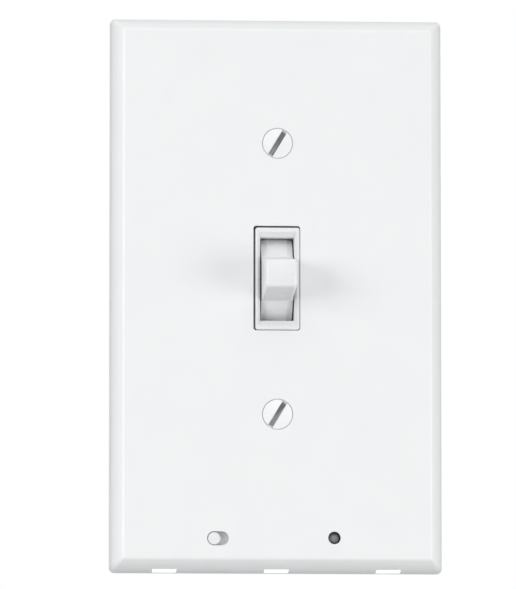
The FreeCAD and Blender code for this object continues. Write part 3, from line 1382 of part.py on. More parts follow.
def cover_screw(label, sign):
    where = (f"{sign}cover_screw_x", "-small_head_rise", "cover_screw_z")
    pan_screw(
        f"cover_screw_{label}",
        "small_thread",
        "small_head",
        "small_head_rise",
        "small_length",
        "small_slot",
        where,
        BACK,
    )


# ---- everything --------------------------------------------------------------------------------------------------

face_plate()
for side, place_x in (("left", "-light_pitch"), ("middle", "0"), ("right", "light_pitch")):
    light_lens(f"light_lens_{side}", place_x)
    light_diode(f"light_diode_{side}", place_x)
circuit_board()
mode_switch()
light_sensor()
board_parts()
rear_cover()
prong("upper", "prong_z", "upper_run_x")
prong("lower", "-prong_z", "lower_run_x")
mounting_strap()
front_housing()
rear_housing()
strap_rivets()
toggle_lever()
contact_arm()
moving_face = "arm_front - contact_thick"
contact_rivet("moving_contact", moving_face, -1)
contact_rivet("fixed_contact", f"{moving_face} - contact_gap", 1)
fixed_contact_plate()
arm_terminal_plate()
for level, sign in (("upper", ""), ("lower", "-")):
    plate_screw(level, sign)
    box_screw(level, sign)
    screw_retainer(level, sign)
    wire_clamp(level, 1 if sign == "" else -1)
    stop_bumper(level, 1 if sign == "" else -1)
    seat = ("terminal_inner + busbar_thick + terminal_gap", "terminal_y", f"{sign}prong_z")
    terminal_screw(f"terminal_screw_{level}", seat, RIGHT, TERMINAL_TURNS[level])
terminal_screw("ground_screw", ("-strap_half_width - terminal_gap", "ground_y", "ground_z"), LEFT, GROUND_TURN)
cover_screw("left", "-")
cover_screw("right", "")

document.recompute()

for item in document.Objects:
    if "Invalid" in item.State or "Error" in item.State:
        raise RuntimeError(f"{item.Label}: {item.State}")

os.makedirs("parts", exist_ok=True)
for item in SUB_PARTS:
    shape = item.Shape
    if shape.isNull() or not shape.isValid():
        raise RuntimeError(f"{item.Label}: its shape is not whole")
    shape.exportStep(f"parts/{item.Label}.step")
    box = shape.BoundBox
    print(
        f"{item.Label:24s} {len(shape.Solids)} solid(s) {shape.Volume:10.2f} mm3  "
        f"x {box.XMin:7.2f} {box.XMax:7.2f}  y {box.YMin:7.2f} {box.YMax:7.2f}  z {box.ZMin:7.2f} {box.ZMax:7.2f}"
    )
print(len(SUB_PARTS), "sub-parts")
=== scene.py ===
import json
import math
import random

import bmesh
import bpy
from mathutils import Matrix, Vector

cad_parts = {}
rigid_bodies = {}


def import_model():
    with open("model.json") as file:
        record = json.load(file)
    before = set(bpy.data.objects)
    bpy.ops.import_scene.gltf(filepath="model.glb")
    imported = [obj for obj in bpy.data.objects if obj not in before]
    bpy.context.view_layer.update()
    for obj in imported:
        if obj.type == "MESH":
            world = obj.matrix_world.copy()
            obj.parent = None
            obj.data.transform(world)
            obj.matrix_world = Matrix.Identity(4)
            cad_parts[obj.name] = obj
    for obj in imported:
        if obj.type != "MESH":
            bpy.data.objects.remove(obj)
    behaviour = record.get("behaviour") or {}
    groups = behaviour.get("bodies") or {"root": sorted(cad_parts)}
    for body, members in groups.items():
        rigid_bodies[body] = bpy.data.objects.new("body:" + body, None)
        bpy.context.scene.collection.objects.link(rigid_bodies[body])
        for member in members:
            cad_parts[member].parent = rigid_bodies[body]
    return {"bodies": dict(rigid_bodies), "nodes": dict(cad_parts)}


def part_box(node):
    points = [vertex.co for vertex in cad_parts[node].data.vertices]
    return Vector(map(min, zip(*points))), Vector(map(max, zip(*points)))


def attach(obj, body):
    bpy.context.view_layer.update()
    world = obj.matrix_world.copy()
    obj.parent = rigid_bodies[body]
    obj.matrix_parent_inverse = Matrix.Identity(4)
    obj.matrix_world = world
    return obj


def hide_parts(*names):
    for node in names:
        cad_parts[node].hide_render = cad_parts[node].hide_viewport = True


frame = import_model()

# A toggle wall switch behind a white night-light cover plate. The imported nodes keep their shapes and
# get their finishes here. Screws keep their packed heads and get real threads, and the small moulded
# and soldered details are added. Lengths are in metres: +X right, +Y into the wall, +Z up.

MM = 0.001
NODES = frame["nodes"]

for item in list(bpy.data.objects):
    if item.name not in NODES and item not in frame["bodies"].values():
        bpy.data.objects.remove(item)

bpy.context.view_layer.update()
random.seed(7)

# ---- meshes --------------------------------------------------------------------------------------


def new_piece(name, mesh, body, material, replaces=()):
    """Puts a finished mesh in the scene as a piece that rides on a body."""
    piece = bpy.data.objects.new(name, mesh)
    bpy.context.scene.collection.objects.link(piece)
    if not mesh.materials:
        mesh.materials.append(material)
    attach(piece, body)
    if replaces:
        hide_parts(*replaces)
    return piece


def mesh_from(name, bm, smooth_below=math.radians(35)):
    """Turns a bmesh into a mesh with clean normals, smooth where it bends less than an angle."""
    bmesh.ops.remove_doubles(bm, verts=bm.verts, dist=1e-7)
    bmesh.ops.recalc_face_normals(bm, faces=bm.faces)
    mesh = bpy.data.meshes.new(name)
    bm.to_mesh(mesh)
    bm.free()
    mesh.shade_smooth()
    mesh.set_sharp_from_angle(angle=smooth_below)
    return mesh


def add_block(bm, low, high, soft):
    """A block with rounded edges between two corners."""
    size = Vector(high) - Vector(low)
    middle = (Vector(high) + Vector(low)) / 2
    matrix = Matrix.Translation(middle) @ Matrix.Diagonal((*size, 1.0))
    made = bmesh.ops.create_cube(bm, size=1.0, matrix=matrix)
    edges = list({edge for vert in made["verts"] for edge in vert.link_edges})
    bmesh.ops.bevel(bm, geom=edges, offset=soft, segments=3, profile=0.5, affect="EDGES")


def add_turned(bm, profile, matrix, segments=32):
    """Turns (radius, height) points about +Z of the matrix. The first and last points close the form."""
    rings = []
    for radius, height in profile:
        if radius < 1e-9:
            rings.append([bm.verts.new(matrix @ Vector((0, 0, height)))])
            continue
        ring = []
        for index in range(segments):
            angle = 2 * math.pi * index / segments
            point = Vector((radius * math.cos(angle), radius * math.sin(angle), height))
            ring.append(bm.verts.new(matrix @ point))
        rings.append(ring)
    for below, above in zip(rings, rings[1:]):
        for index in range(segments):
            following = (index + 1) % segments
            corners = [below[index % len(below)], below[following % len(below)]]
            corners += [above[following % len(above)], above[index % len(above)]]
            distinct = list(dict.fromkeys(corners))
            if len(distinct) > 2:
                bm.faces.new(distinct)


def axis_matrix(origin, direction):
    """Places a form made along +Z at an origin, pointing in a direction."""
    turn = Vector(direction).to_track_quat("Z", "Y").to_matrix().to_4x4()
    return Matrix.Translation(origin) @ turn


# ---- materials -----------------------------------------------------------------------------------


class Finish:
    """One Principled material and the few node patterns that every finish here is made from."""

    def __init__(self, name, colour, roughness, metallic=0.0):
        self.material = bpy.data.materials.new(name)
        self.material.use_nodes = True
        self.tree = self.material.node_tree
        self.shader = self.tree.nodes["Principled BSDF"]
        self.colour = colour
        self.shader.inputs["Base Color"].default_value = (*colour, 1.0)
        self.shader.inputs["Roughness"].default_value = roughness
        self.shader.inputs["Metallic"].default_value = metallic
        self.place = self.tree.nodes.new("ShaderNodeTexCoord").outputs["Object"]
        self.normal = None

    def set(self, **sockets):
        for name, value in sockets.items():
            self.shader.inputs[name.replace("_", " ")].default_value = value
        return self

    def node(self, kind, **inputs):
        node = self.tree.nodes.new(kind)
        for name, value in inputs.items():
            node.inputs[name.replace("_", " ")].default_value = value
        return node

    def noise(self, size, detail=2.0, stretch=(1, 1, 1)):
        """Noise whose features are about that size, drawn out along an axis whose stretch is below 1."""
        mapping = self.node("ShaderNodeMapping", Scale=stretch)
        noise = self.node("ShaderNodeTexNoise", Scale=1 / size, Detail=detail)
        self.tree.links.new(self.place, mapping.inputs["Vector"])
        self.tree.links.new(mapping.outputs["Vector"], noise.inputs["Vector"])
        return noise.outputs["Fac"]

    def spread(self, factor, low, high, start=0.3, end=0.7):
        """The part of a factor from start to end, spread over low to high."""
        node = self.node("ShaderNodeMapRange")
        for name, value in (("From Min", start), ("From Max", end), ("To Min", low), ("To Max", high)):
            node.inputs[name].default_value = value
        self.tree.links.new(factor, node.inputs["Value"])
        return node.outputs["Result"]

    def product(self, one, other):
        node = self.tree.nodes.new("ShaderNodeMath")
        node.operation = "MULTIPLY"
        self.tree.links.new(one, node.inputs[0])
        self.tree.links.new(other, node.inputs[1])
        return node.outputs[0]

    def tint(self, factor, other):
        """Mixes the base colour towards another one by a factor."""
        mix = self.tree.nodes.new("ShaderNodeMix")
        mix.data_type = "RGBA"
        mix.inputs["A"].default_value = (*self.colour, 1.0)
        mix.inputs["B"].default_value = (*other, 1.0)
        self.tree.links.new(factor, mix.inputs["Factor"])
        target = self.shader.inputs["Base Color"]
        if target.is_linked:
            self.tree.links.new(target.links[0].from_socket, mix.inputs["A"])
        self.tree.links.new(mix.outputs["Result"], target)
        return self

    def rough(self, factor):
        self.tree.links.new(factor, self.shader.inputs["Roughness"])
        return self

    def bump(self, factor, height):
        """Raises the surface by a factor times a height; more bumps stack on the ones before."""
        bump = self.node("ShaderNodeBump", Strength=1.0, Distance=height)
        self.tree.links.new(factor, bump.inputs["Height"])
        if self.normal is not None:
            self.tree.links.new(self.normal, bump.inputs["Normal"])
        self.normal = bump.outputs["Normal"]
        self.tree.links.new(self.normal, self.shader.inputs["Normal"])
        return self


def moulded(name, colour, shade, roughness, grain_height=0.006 * MM):
    """Moulded plastic: faint flow marks in the colour, an uneven polish, fine grain and a few scuffs."""
    finish = Finish(name, colour, roughness)
    finish.set(IOR=1.49)
    finish.tint(finish.spread(finish.noise(9 * MM, 3.0), 0.0, 0.5), shade)
    scuffs = finish.spread(finish.noise(1.6 * MM, 4.0, (1.0, 1.0, 0.12)), 0.0, 1.0, 0.60, 0.74)
    finish.tint(finish.product(scuffs, finish.spread(finish.noise(14 * MM), 0.0, 0.5)), shade)
    finish.rough(finish.spread(finish.noise(3 * MM, 5.0), roughness - 0.06, roughness + 0.08))
    finish.bump(finish.noise(0.35 * MM, 2.0), grain_height)
    finish.bump(finish.noise(6 * MM, 1.0), grain_height * 2.5)
    return finish.material


def metal(name, colour, shade, roughness, brushed=(1.0, 1.0, 0.08)):
    """Plated or rolled metal: brushing, cloudy tarnish and small knocks."""
    finish = Finish(name, colour, roughness, 1.0)
    finish.tint(finish.spread(finish.noise(4 * MM, 5.0), 0.0, 0.8), shade)
    finish.rough(finish.spread(finish.noise(1.2 * MM, 4.0), roughness - 0.09, roughness + 0.14))
    finish.bump(finish.noise(0.12 * MM, 2.0, brushed), 0.004 * MM)
    finish.bump(finish.spread(finish.noise(2.2 * MM, 3.0), 0.0, 1.0, 0.62, 0.75), -0.01 * MM)
    return finish.material


def rubber(name, colour, shade):
    finish = Finish(name, colour, 0.75)
    finish.tint(finish.spread(finish.noise(1.5 * MM, 4.0), 0.0, 0.7), shade)
    finish.rough(finish.spread(finish.noise(0.8 * MM, 3.0), 0.62, 0.88))
    finish.bump(finish.noise(0.15 * MM, 3.0), 0.012 * MM)
    return finish.material


def fibre(name, colour, shade):
    """Pressed paper fibre: short strands across each other."""
    finish = Finish(name, colour, 0.82)
    along = finish.noise(0.25 * MM, 3.0, (0.15, 1.0, 1.0))
    across = finish.noise(0.25 * MM, 3.0, (1.0, 1.0, 0.15))
    strands = finish.product(along, across)
    finish.tint(finish.spread(strands, 0.0, 0.8, 0.15, 0.35), shade)
    finish.rough(finish.spread(finish.noise(1.0 * MM), 0.72, 0.9))
    finish.bump(strands, 0.05 * MM)
    return finish.material


def diffuser(name):
    """Milky light window, lit from behind."""
    finish = Finish(name, (0.93, 0.94, 0.95), 0.3)
    finish.set(Emission_Color=(1.0, 0.99, 0.97, 1.0), Emission_Strength=0.55, IOR=1.49)
    finish.tint(finish.spread(finish.noise(2 * MM, 2.0), 0.0, 0.6), (0.86, 0.88, 0.9))
    finish.rough(finish.spread(finish.noise(0.6 * MM, 3.0), 0.22, 0.42))
    finish.bump(finish.noise(0.3 * MM, 2.0), 0.01 * MM)
    return finish.material


def clear_resin(name):
    finish = Finish(name, (0.36, 0.365, 0.37), 0.2)
    finish.set(Transmission_Weight=0.3, IOR=1.52)
    finish.tint(finish.spread(finish.noise(0.9 * MM, 2.0), 0.0, 0.8), (0.26, 0.265, 0.27))
    finish.rough(finish.spread(finish.noise(0.5 * MM, 3.0), 0.12, 0.34))
    finish.bump(finish.noise(0.8 * MM, 1.0), 0.01 * MM)
    return finish.material


def board_laminate(name):
    """Green solder mask over woven glass."""
    finish = Finish(name, (0.03, 0.17, 0.08), 0.35)
    wave = finish.node("ShaderNodeTexBrick", Scale=1100.0, Mortar_Size=0.06)
    finish.tree.links.new(finish.place, wave.inputs["Vector"])
    finish.tint(finish.spread(finish.noise(3 * MM, 3.0), 0.0, 0.7), (0.05, 0.24, 0.12))
    finish.rough(finish.spread(finish.noise(1.0 * MM), 0.25, 0.45))
    finish.bump(wave.outputs["Fac"], 0.006 * MM)
    return finish.material


WHITE_PLASTIC = (0.812, 0.82, 0.822)
WHITE_SHADE = (0.79, 0.80, 0.805)

MATERIALS = {
    "plate_white": moulded("plate_white", WHITE_PLASTIC, WHITE_SHADE, 0.34),
    "lever_white": moulded("lever_white", (0.775, 0.785, 0.795), (0.745, 0.755, 0.765), 0.32),
    "housing_white": moulded("housing_white", (0.79, 0.80, 0.80), (0.75, 0.76, 0.76), 0.38),
    "housing_grey": moulded("housing_grey", (0.36, 0.37, 0.38), (0.30, 0.31, 0.32), 0.5, 0.012 * MM),
    "cover_white": moulded("cover_white", (0.74, 0.755, 0.77), (0.69, 0.70, 0.71), 0.42, 0.01 * MM),
    "diffuser": diffuser("diffuser"),
    "sensor_clear": clear_resin("sensor_clear"),
    "screw_white": moulded("screw_white", (0.85, 0.855, 0.86), (0.74, 0.75, 0.76), 0.36, 0.008 * MM),
    "zinc_steel": metal("zinc_steel", (0.62, 0.63, 0.65), (0.45, 0.46, 0.48), 0.34),
    "brass": metal("brass", (0.78, 0.58, 0.27), (0.58, 0.40, 0.17), 0.3),
    "ground_green": metal("ground_green", (0.06, 0.30, 0.14), (0.03, 0.18, 0.08), 0.36),
    "silver_alloy": metal("silver_alloy", (0.82, 0.81, 0.79), (0.6, 0.58, 0.55), 0.25),
    "board_green": board_laminate("board_green"),
    "chip_black": moulded("chip_black", (0.018, 0.018, 0.02), (0.035, 0.035, 0.035), 0.55, 0.01 * MM),
    "led_white": moulded("led_white", (0.82, 0.82, 0.78), (0.85, 0.78, 0.45), 0.3),
    "switch_black": moulded("switch_black", (0.03, 0.03, 0.032), (0.05, 0.05, 0.05), 0.45),
    "resistor_dark": moulded("resistor_dark", (0.05, 0.055, 0.07), (0.09, 0.09, 0.1), 0.4),
    "capacitor_tan": moulded("capacitor_tan", (0.42, 0.29, 0.17), (0.34, 0.22, 0.12), 0.45),
    "bumper_rubber": rubber("bumper_rubber", (0.06, 0.06, 0.065), (0.1, 0.1, 0.1)),
    "retainer_fibre": fibre("retainer_fibre", (0.42, 0.30, 0.19), (0.56, 0.43, 0.29)),
}
# Slot material: bare metal, and on painted screws also painted shade that darkens the slot.
SLOT_METAL_AND_SHADE = metal("slot_metal_and_shade", (0.50, 0.505, 0.51), (0.36, 0.365, 0.37), 0.5)
SOLDER = metal("solder", (0.66, 0.66, 0.67), (0.5, 0.5, 0.52), 0.28)

for node in NODES.values():
    wanted = [slot.material.name.split(".")[0] for slot in node.material_slots if slot.material]
    for index, name in enumerate(wanted):
        node.material_slots[index].material = MATERIALS[name]

# ---- screws --------------------------------------------------------------------------------------


CREST_SHARE = 0.14
FLANK_SHARE = 0.74
THREAD_DEPTH = 0.6          # of the pitch
THREAD_RUN_IN = 1.5         # pitches from a plain shaft to full depth
THREAD_SEGMENTS = 40
ROWS_A_PITCH = 12
TIP_TAPER = 0.55 * MM
TIP_SLOPE = 0.9
MACHINE_PITCH = 25.4 * MM / 32


def thread_dip(phase):
    """How deep a 60 degree thread is at a share of its pitch: 0 on the crest, 1 in the root."""
    return min(1.0, max(0.0, (abs(phase - 0.5) * 2 - CREST_SHARE) / FLANK_SHARE))


def add_thread(bm, matrix, radius, pitch, start, end, material_index):
    """A right-hand thread from start to end along +Z of the matrix, with a tapered tip and closed ends."""
    rows = int((end - start) / pitch * ROWS_A_PITCH)
    depth = THREAD_DEPTH * pitch
    rings = []
    for row in range(rows + 1):
        height = start + (end - start) * row / rows
        cut_back = max(0.0, TIP_TAPER - (end - height)) * TIP_SLOPE
        run_in = min(1.0, (height - start) / (THREAD_RUN_IN * pitch))
        ring = []
        for index in range(THREAD_SEGMENTS):
            turn = index / THREAD_SEGMENTS
            dip = thread_dip((height / pitch + turn) % 1.0) * depth * run_in
            reach = min(radius - dip, radius - cut_back)
            angle = 2 * math.pi * turn
            point = Vector((reach * math.cos(angle), reach * math.sin(angle), height))
            ring.append(bm.verts.new(matrix @ point))
        rings.append(ring)
    for below, above in zip(rings, rings[1:]):
        for index in range(THREAD_SEGMENTS):
            following = (index + 1) % THREAD_SEGMENTS
            face = bm.faces.new((below[index], below[following], above[following], above[index]))
            face.material_index = material_index
    for ring in (rings[0], rings[-1]):
        bm.faces.new(ring).material_index = material_index


def threaded_screw(node, head_to_tip, head_depth, radius, pitch, slot, slot_floor, shaft):
    """Keeps a packed screw's head and gives it a cut thread in place of its plain shaft.

    The slot and everything below the head's rim are bare metal where the head is painted. This darker metal
    is also painted shade: it darkens the slot and the gap around the head, where shade falls.
    """
    low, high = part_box(node)
    direction = Vector(head_to_tip)
    axis = (low + high) / 2
    far = max(range(3), key=lambda i: abs(direction[i]))
    axis[far] = low[far] if direction[far] > 0 else high[far]
    length = (high - low)[far]
    bm = bmesh.new()
    bm.from_mesh(NODES[node].data)
    bmesh.ops.remove_doubles(bm, verts=bm.verts, dist=1e-7)

    def depth_of(vert):
        return (vert.co - axis).dot(direction)

    spare = [vert for vert in bm.verts if depth_of(vert) > head_depth + 0.01 * MM]
    bmesh.ops.delete(bm, geom=spare, context="VERTS")
    for face in bm.faces:
        deep = sum(depth_of(vert) for vert in face.verts) / len(face.verts)
        faces_head = abs(face.normal.dot(direction)) > 0.98 and deep > slot_floor
        walls = abs(face.normal.dot(direction)) < 0.02 and deep < head_depth * 0.98
        inside = max(off_axis(vert.co, axis, direction) for vert in face.verts)
        beside = min(off_axis(vert.co, axis, direction) for vert in face.verts)
        in_slot = deep < head_depth - 0.05 * MM and (faces_head or (walls and beside < inside * 0.6))
        # Painted shade: on a painted head, the bare metal under the rim darkens the gap around the head and
        # the slot metal darkens the slot.
        under_rim_bare_and_shade = face.normal.dot(direction) > -0.1 and not in_slot
        face.material_index = 1 if in_slot else 2 if under_rim_bare_and_shade else 0
    matrix = axis_matrix(axis, direction)
    add_thread(bm, matrix, radius, pitch, head_depth - 0.05 * MM, length, 2)
    mesh = mesh_from(node + "_threaded", bm, math.radians(32))
    slot_bare_and_shade = SLOT_METAL_AND_SHADE if slot == "screw_white" else MATERIALS[slot]
    for material in (MATERIALS[slot], slot_bare_and_shade, MATERIALS[shaft]):
        mesh.materials.append(material)
    new_piece(node + "_threaded", mesh, "switch_body", MATERIALS[slot], (node,))


def off_axis(point, axis, direction):
    along = (point - axis).dot(direction)
    return (point - axis - direction * along).length


SCREWS = []
for level in ("upper", "lower"):
    SCREWS += [
        (f"plate_screw_{level}", (0, 1, 0), 2.0, 1.75, MACHINE_PITCH, "screw_white", 0.6, "zinc_steel"),
        (f"box_screw_{level}", (0, 1, 0), 2.2, 1.75, MACHINE_PITCH, "zinc_steel", 0.6, "zinc_steel"),
        (f"terminal_screw_{level}", (-1, 0, 0), 2.2, 2.0, MACHINE_PITCH, "brass", 0.6, "brass"),
    ]
SCREWS.append(("ground_screw", (1, 0, 0), 2.2, 2.0, MACHINE_PITCH, "ground_green", 0.6, "ground_green"))
for side in ("left", "right"):
    SCREWS.append((f"cover_screw_{side}", (0, -1, 0), 0.5, 0.7, 0.5 * MM, "zinc_steel", 0.2, "zinc_steel"))
for node, head_to_tip, head_depth, radius, pitch, slot, slot_floor, shaft in SCREWS:
    threaded_screw(
        node, head_to_tip, head_depth * MM, radius * MM, pitch, slot, slot_floor * MM, shaft
    )

# ---- moulded details -----------------------------------------------------------------------------


def detail_mesh(name, blocks, soft):
    bm = bmesh.new()
    for low, high in blocks:
        add_block(bm, low, high, soft)
    return mesh_from(name, bm)


def rear_housing_details():
    """Ribs along the housing's sides, a strip gauge beside the wire holes and two raised rings."""
    low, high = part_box("rear_housing")
    back = high.y
    proud = 0.35 * MM
    front_end, back_end = 9.4 * MM, 23.6 * MM
    half = 0.5 * MM
    ribs = []
    for place_z in (-22, -11, 0, 11, 22):
        z = place_z * MM
        ribs.append(((low.x - proud, front_end, z - half), (low.x + 0.4 * MM, back_end, z + half)))
    for place_x in (-9, 0, 9):
        x = place_x * MM
        for edge, sign in ((low.z, -1), (high.z, 1)):
            inner, outer = edge - sign * 0.4 * MM, edge + sign * proud
            span = sorted((inner, outer))
            ribs.append(((x - half, front_end, span[0]), (x + half, back_end, span[1])))
    mesh = detail_mesh("rear_housing_ribs", ribs, 0.15 * MM)
    new_piece("rear_housing_ribs", mesh, "switch_body", MATERIALS["housing_grey"])

    gauge = []
    for place_x in (-12.4, -9.6):
        x = place_x * MM
        gauge.append(((x - 0.3 * MM, back - 0.3 * MM, -8 * MM), (x + 0.3 * MM, back + proud, 8 * MM)))
    for z in (-8 * MM, 8 * MM):
        gauge.append(((-12.7 * MM, back - 0.3 * MM, z - 0.3 * MM), (-9.3 * MM, back + proud, z + 0.3 * MM)))
    mesh = detail_mesh("strip_gauge", gauge, 0.12 * MM)
    new_piece("strip_gauge", mesh, "switch_body", MATERIALS["housing_grey"])

    bm = bmesh.new()
    ring = [(2.6, -0.2), (2.6, 0.25), (2.45, 0.4), (2.15, 0.4), (2.0, 0.25), (2.0, -0.2), (2.6, -0.2)]
    for z in (-18 * MM, 18 * MM):
        matrix = axis_matrix((-2 * MM, back, z), (0, 1, 0))
        add_turned(bm, [(r * MM, h * MM) for r, h in ring], matrix, 48)
    mesh = mesh_from("housing_gate_rings", bm)
    new_piece("housing_gate_rings", mesh, "switch_body", MATERIALS["housing_grey"])


def plate_ribs():
    """Stiffening ribs and ejector marks on the inside of the cover plate."""
    inner = -5.2 * MM
    root, crest = inner - 0.1 * MM, -3.6 * MM
    half = 0.45 * MM
    screw_up = 30.16 * MM
    blocks = []
    for sign in (-1, 1):
        x = sign * 17.6 * MM
        for start, end in ((20 * MM, 50 * MM), (-50 * MM, -40 * MM)):
            blocks.append(((x - half, root, start), (x + half, crest, end)))
        top = sign * screw_up
        for side in (-1, 1):
            near, far = sorted((side * 3.4 * MM, side * 17.2 * MM))
            blocks.append(((near, root, top - half), (far, crest, top + half)))
    mesh = detail_mesh("plate_ribs", blocks, 0.15 * MM)
    new_piece("plate_ribs", mesh, "switch_body", MATERIALS["plate_white"])
    bm = bmesh.new()
    profile = [(0, 0.12), (1.55, 0.12), (1.7, 0.04), (1.75, -0.1), (0, -0.1)]
    for x, z in ((-27, 42), (27, 42), (-27, 4), (-27, -34), (10, 48), (-10, 48)):
        matrix = axis_matrix((x * MM, inner, z * MM), (0, 1, 0))
        add_turned(bm, [(r * MM, h * MM) for r, h in profile], matrix, 40)
    mesh = mesh_from("plate_ejector_marks", bm)
    new_piece("plate_ejector_marks", mesh, "switch_body", MATERIALS["plate_white"])


def board_details():
    """Copper runs under the mask and solder at the leads of the parts on the board."""
    low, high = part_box("circuit_board")
    face = high.y
    bm = bmesh.new()
    middle = (low.z + high.z) / 2
    half_run = 0.15 * MM
    runs = []
    for index in range(5):
        z = middle + (index - 2) * 1.15 * MM
        start = low.x + (2 + 1.7 * index) * MM
        runs.append((start, z, start + (15 + 2 * index) * MM))
        runs.append((1.5 * MM + index * MM, z, high.x - (3 + index) * MM))
    for left, z, right in runs:
        near, far = (left, face - 0.02 * MM, z - half_run), (right, face + 0.04 * MM, z + half_run)
        add_block(bm, near, far, 0.01 * MM)
    mesh = mesh_from("board_runs", bm)
    new_piece("board_runs", mesh, "switch_body", MATERIALS["board_green"])

    bm = bmesh.new()
    profile = [(0.62, 0.0), (0.55, 0.1), (0.3, 0.28), (0.14, 0.45), (0.0, 0.5)]
    spots = []
    for node in ("bridge_rectifier", "control_chip", "capacitor", "resistor_1", "resistor_2", "resistor_3"):
        near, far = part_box(node)
        centre = (near + far) / 2
        if far.z - near.z > 5 * MM:
            spots += [(centre.x - 1.2 * MM, near.z), (centre.x + 1.2 * MM, near.z)]
            spots += [(centre.x - 1.2 * MM, far.z), (centre.x + 1.2 * MM, far.z)]
        else:
            spots += [(near.x, centre.z), (far.x, centre.z)]
    for x, z in spots:
        matrix = axis_matrix((x, face, z), (0, 1, 0)) @ Matrix.Rotation(random.random() * 6, 4, "Z")
        add_turned(bm, [(r * MM, h * MM) for r, h in profile], matrix, 20)
    mesh = mesh_from("solder_joints", bm, math.radians(80))
    new_piece("solder_joints", mesh, "switch_body", SOLDER)


def sensor_die():
    """The dark photocell inside its clear body."""
    low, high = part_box("light_sensor")
    centre = (low + high) / 2
    bm = bmesh.new()
    corner = Vector((0.55 * MM, 0.15 * MM, 0.55 * MM))
    place = Vector((centre.x, high.y - 1.1 * MM, centre.z))
    add_block(bm, place - corner, place + corner, 0.06 * MM)
    for side in (-1, 1):
        post = Vector((place.x + side * 0.35 * MM, high.y - 0.5 * MM, centre.z))
        half = Vector((0.1 * MM, 0.5 * MM, 0.1 * MM))
        add_block(bm, post - half, post + half, 0.03 * MM)
    mesh = mesh_from("sensor_die", bm)
    new_piece("sensor_die", mesh, "switch_body", MATERIALS["chip_black"])


rear_housing_details()
plate_ribs()
board_details()
sensor_die()

# ---- floor, light and camera ---------------------------------------------------------------------


def world_light():
    """Plain white behind the object; as light, a soft dome from dark below to bright above."""
    world = bpy.data.worlds.new("studio")
    bpy.context.scene.world = world
    world.use_nodes = True
    tree = world.node_tree
    dome = tree.nodes["Background"]
    plain = tree.nodes.new("ShaderNodeBackground")
    plain.inputs["Color"].default_value = (1.0, 1.0, 1.0, 1.0)
    plain.inputs["Strength"].default_value = 1.0
    direction = tree.nodes.new("ShaderNodeTexCoord").outputs["Generated"]
    split = tree.nodes.new("ShaderNodeSeparateXYZ")
    height = tree.nodes.new("ShaderNodeMapRange")
    mix = tree.nodes.new("ShaderNodeMixShader")
    path = tree.nodes.new("ShaderNodeLightPath")
    dome.inputs["Color"].default_value = (0.985, 0.992, 1.0, 1.0)
    limits = {"From Min": DOME_DARK, "From Max": DOME_FULL, "To Min": 0.0, "To Max": DOME_BRIGHT}
    for name, value in limits.items():
        height.inputs[name].default_value = value
    tree.links.new(direction, split.inputs[0])
    tree.links.new(split.outputs["Z"], height.inputs["Value"])
    tree.links.new(height.outputs["Result"], dome.inputs["Strength"])
    tree.links.new(path.outputs["Is Camera Ray"], mix.inputs["Fac"])
    tree.links.new(dome.outputs[0], mix.inputs[1])
    tree.links.new(plain.outputs[0], mix.inputs[2])
    tree.links.new(mix.outputs[0], tree.nodes["World Output"].inputs["Surface"])


def softbox(name, place, target, width, height, power, colour=(1.0, 1.0, 1.0)):
    lamp = bpy.data.lights.new(name, "AREA")
    lamp.shape = "RECTANGLE"
    lamp.size, lamp.size_y = width, height
    lamp.energy = power
    lamp.color = colour
    item = bpy.data.objects.new(name, lamp)
    bpy.context.scene.collection.objects.link(item)
    item.location = place
    item.rotation_euler = (Vector(target) - Vector(place)).to_track_quat("-Z", "Y").to_euler()
    item.visible_camera = False
    return item


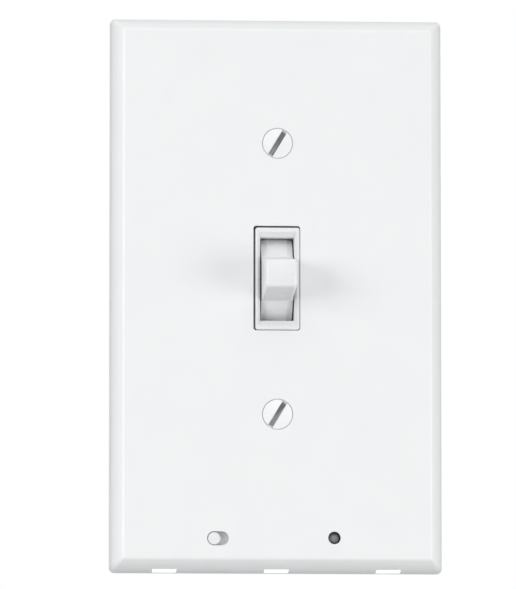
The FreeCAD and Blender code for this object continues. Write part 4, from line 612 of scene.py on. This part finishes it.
def floor():
    """A pale floor well below the object, which is held up as it is on a wall."""
    bm = bmesh.new()
    bmesh.ops.create_grid(bm, x_segments=8, y_segments=8, size=1.2)
    mesh = mesh_from("studio_floor", bm)
    finish = Finish("floor_paper", (0.60, 0.60, 0.60), 0.7)
    finish.tint(finish.spread(finish.noise(0.2), 0.0, 0.3), (0.56, 0.56, 0.56))
    finish.bump(finish.noise(0.004), 0.0002)
    mesh.materials.append(finish.material)
    item = bpy.data.objects.new("studio_floor", mesh)
    bpy.context.scene.collection.objects.link(item)
    item.location = (0.0, 0.0, FLOOR_HEIGHT)


def camera():
    """Long lens, a little to the left and a little below, with the middle of the switch right of centre."""
    azimuth, elevation = math.radians(CAMERA_AZIMUTH), math.radians(CAMERA_ELEVATION)
    level = math.cos(elevation)
    back = Vector((math.sin(azimuth) * level, -math.cos(azimuth) * level, math.sin(elevation)))
    turn = (-back).to_track_quat("-Z", "Y")
    right, up = turn @ Vector((1, 0, 0)), turn @ Vector((0, 1, 0))
    target = Vector((0, cad_plate_front, 0)) - right * FRAME_RIGHT - up * FRAME_UP
    lens = bpy.data.cameras.new("camera")
    lens.sensor_width = 36.0
    lens.lens = 36.0 * CAMERA_DISTANCE / FRAME_HEIGHT
    lens.clip_start, lens.clip_end = 0.05, 20.0
    item = bpy.data.objects.new("camera", lens)
    bpy.context.scene.collection.objects.link(item)
    item.rotation_mode = "QUATERNION"
    item.rotation_quaternion = turn
    item.location = target + back * CAMERA_DISTANCE
    bpy.context.scene.camera = item


CAMERA_AZIMUTH = -4.0
CAMERA_ELEVATION = -5.6
CAMERA_DISTANCE = 1.6
FRAME_HEIGHT = 130.5 * MM
FRAME_RIGHT = 4.35 * MM
FRAME_UP = 3.55 * MM
FLOOR_HEIGHT = -0.35
DOME_DARK = -0.35           # height on the unit dome where the light starts
DOME_FULL = 0.9             # and where it is full
DOME_BRIGHT = 0.89
cad_plate_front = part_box("face_plate")[0].y

world_light()
floor()
camera()
MIDDLE = (0.0, cad_plate_front, 0.0)
softbox("key_above", (0.0, -0.95, 0.62), MIDDLE, 0.9, 0.5, 2.2)
softbox("left_side", (-0.72, -0.70, 0.10), MIDDLE, 0.45, 0.45, 3.55)
softbox("right_side", (0.74, -0.66, -0.12), MIDDLE, 0.45, 0.45, 2.85)
softbox("left_edge", (-1.2, -0.15, 0.10), MIDDLE, 0.5, 0.5, 1.8)
softbox("right_edge", (1.2, -0.15, -0.05), MIDDLE, 0.5, 0.5, 1.8)
bpy.context.scene.view_settings.view_transform = "Standard"
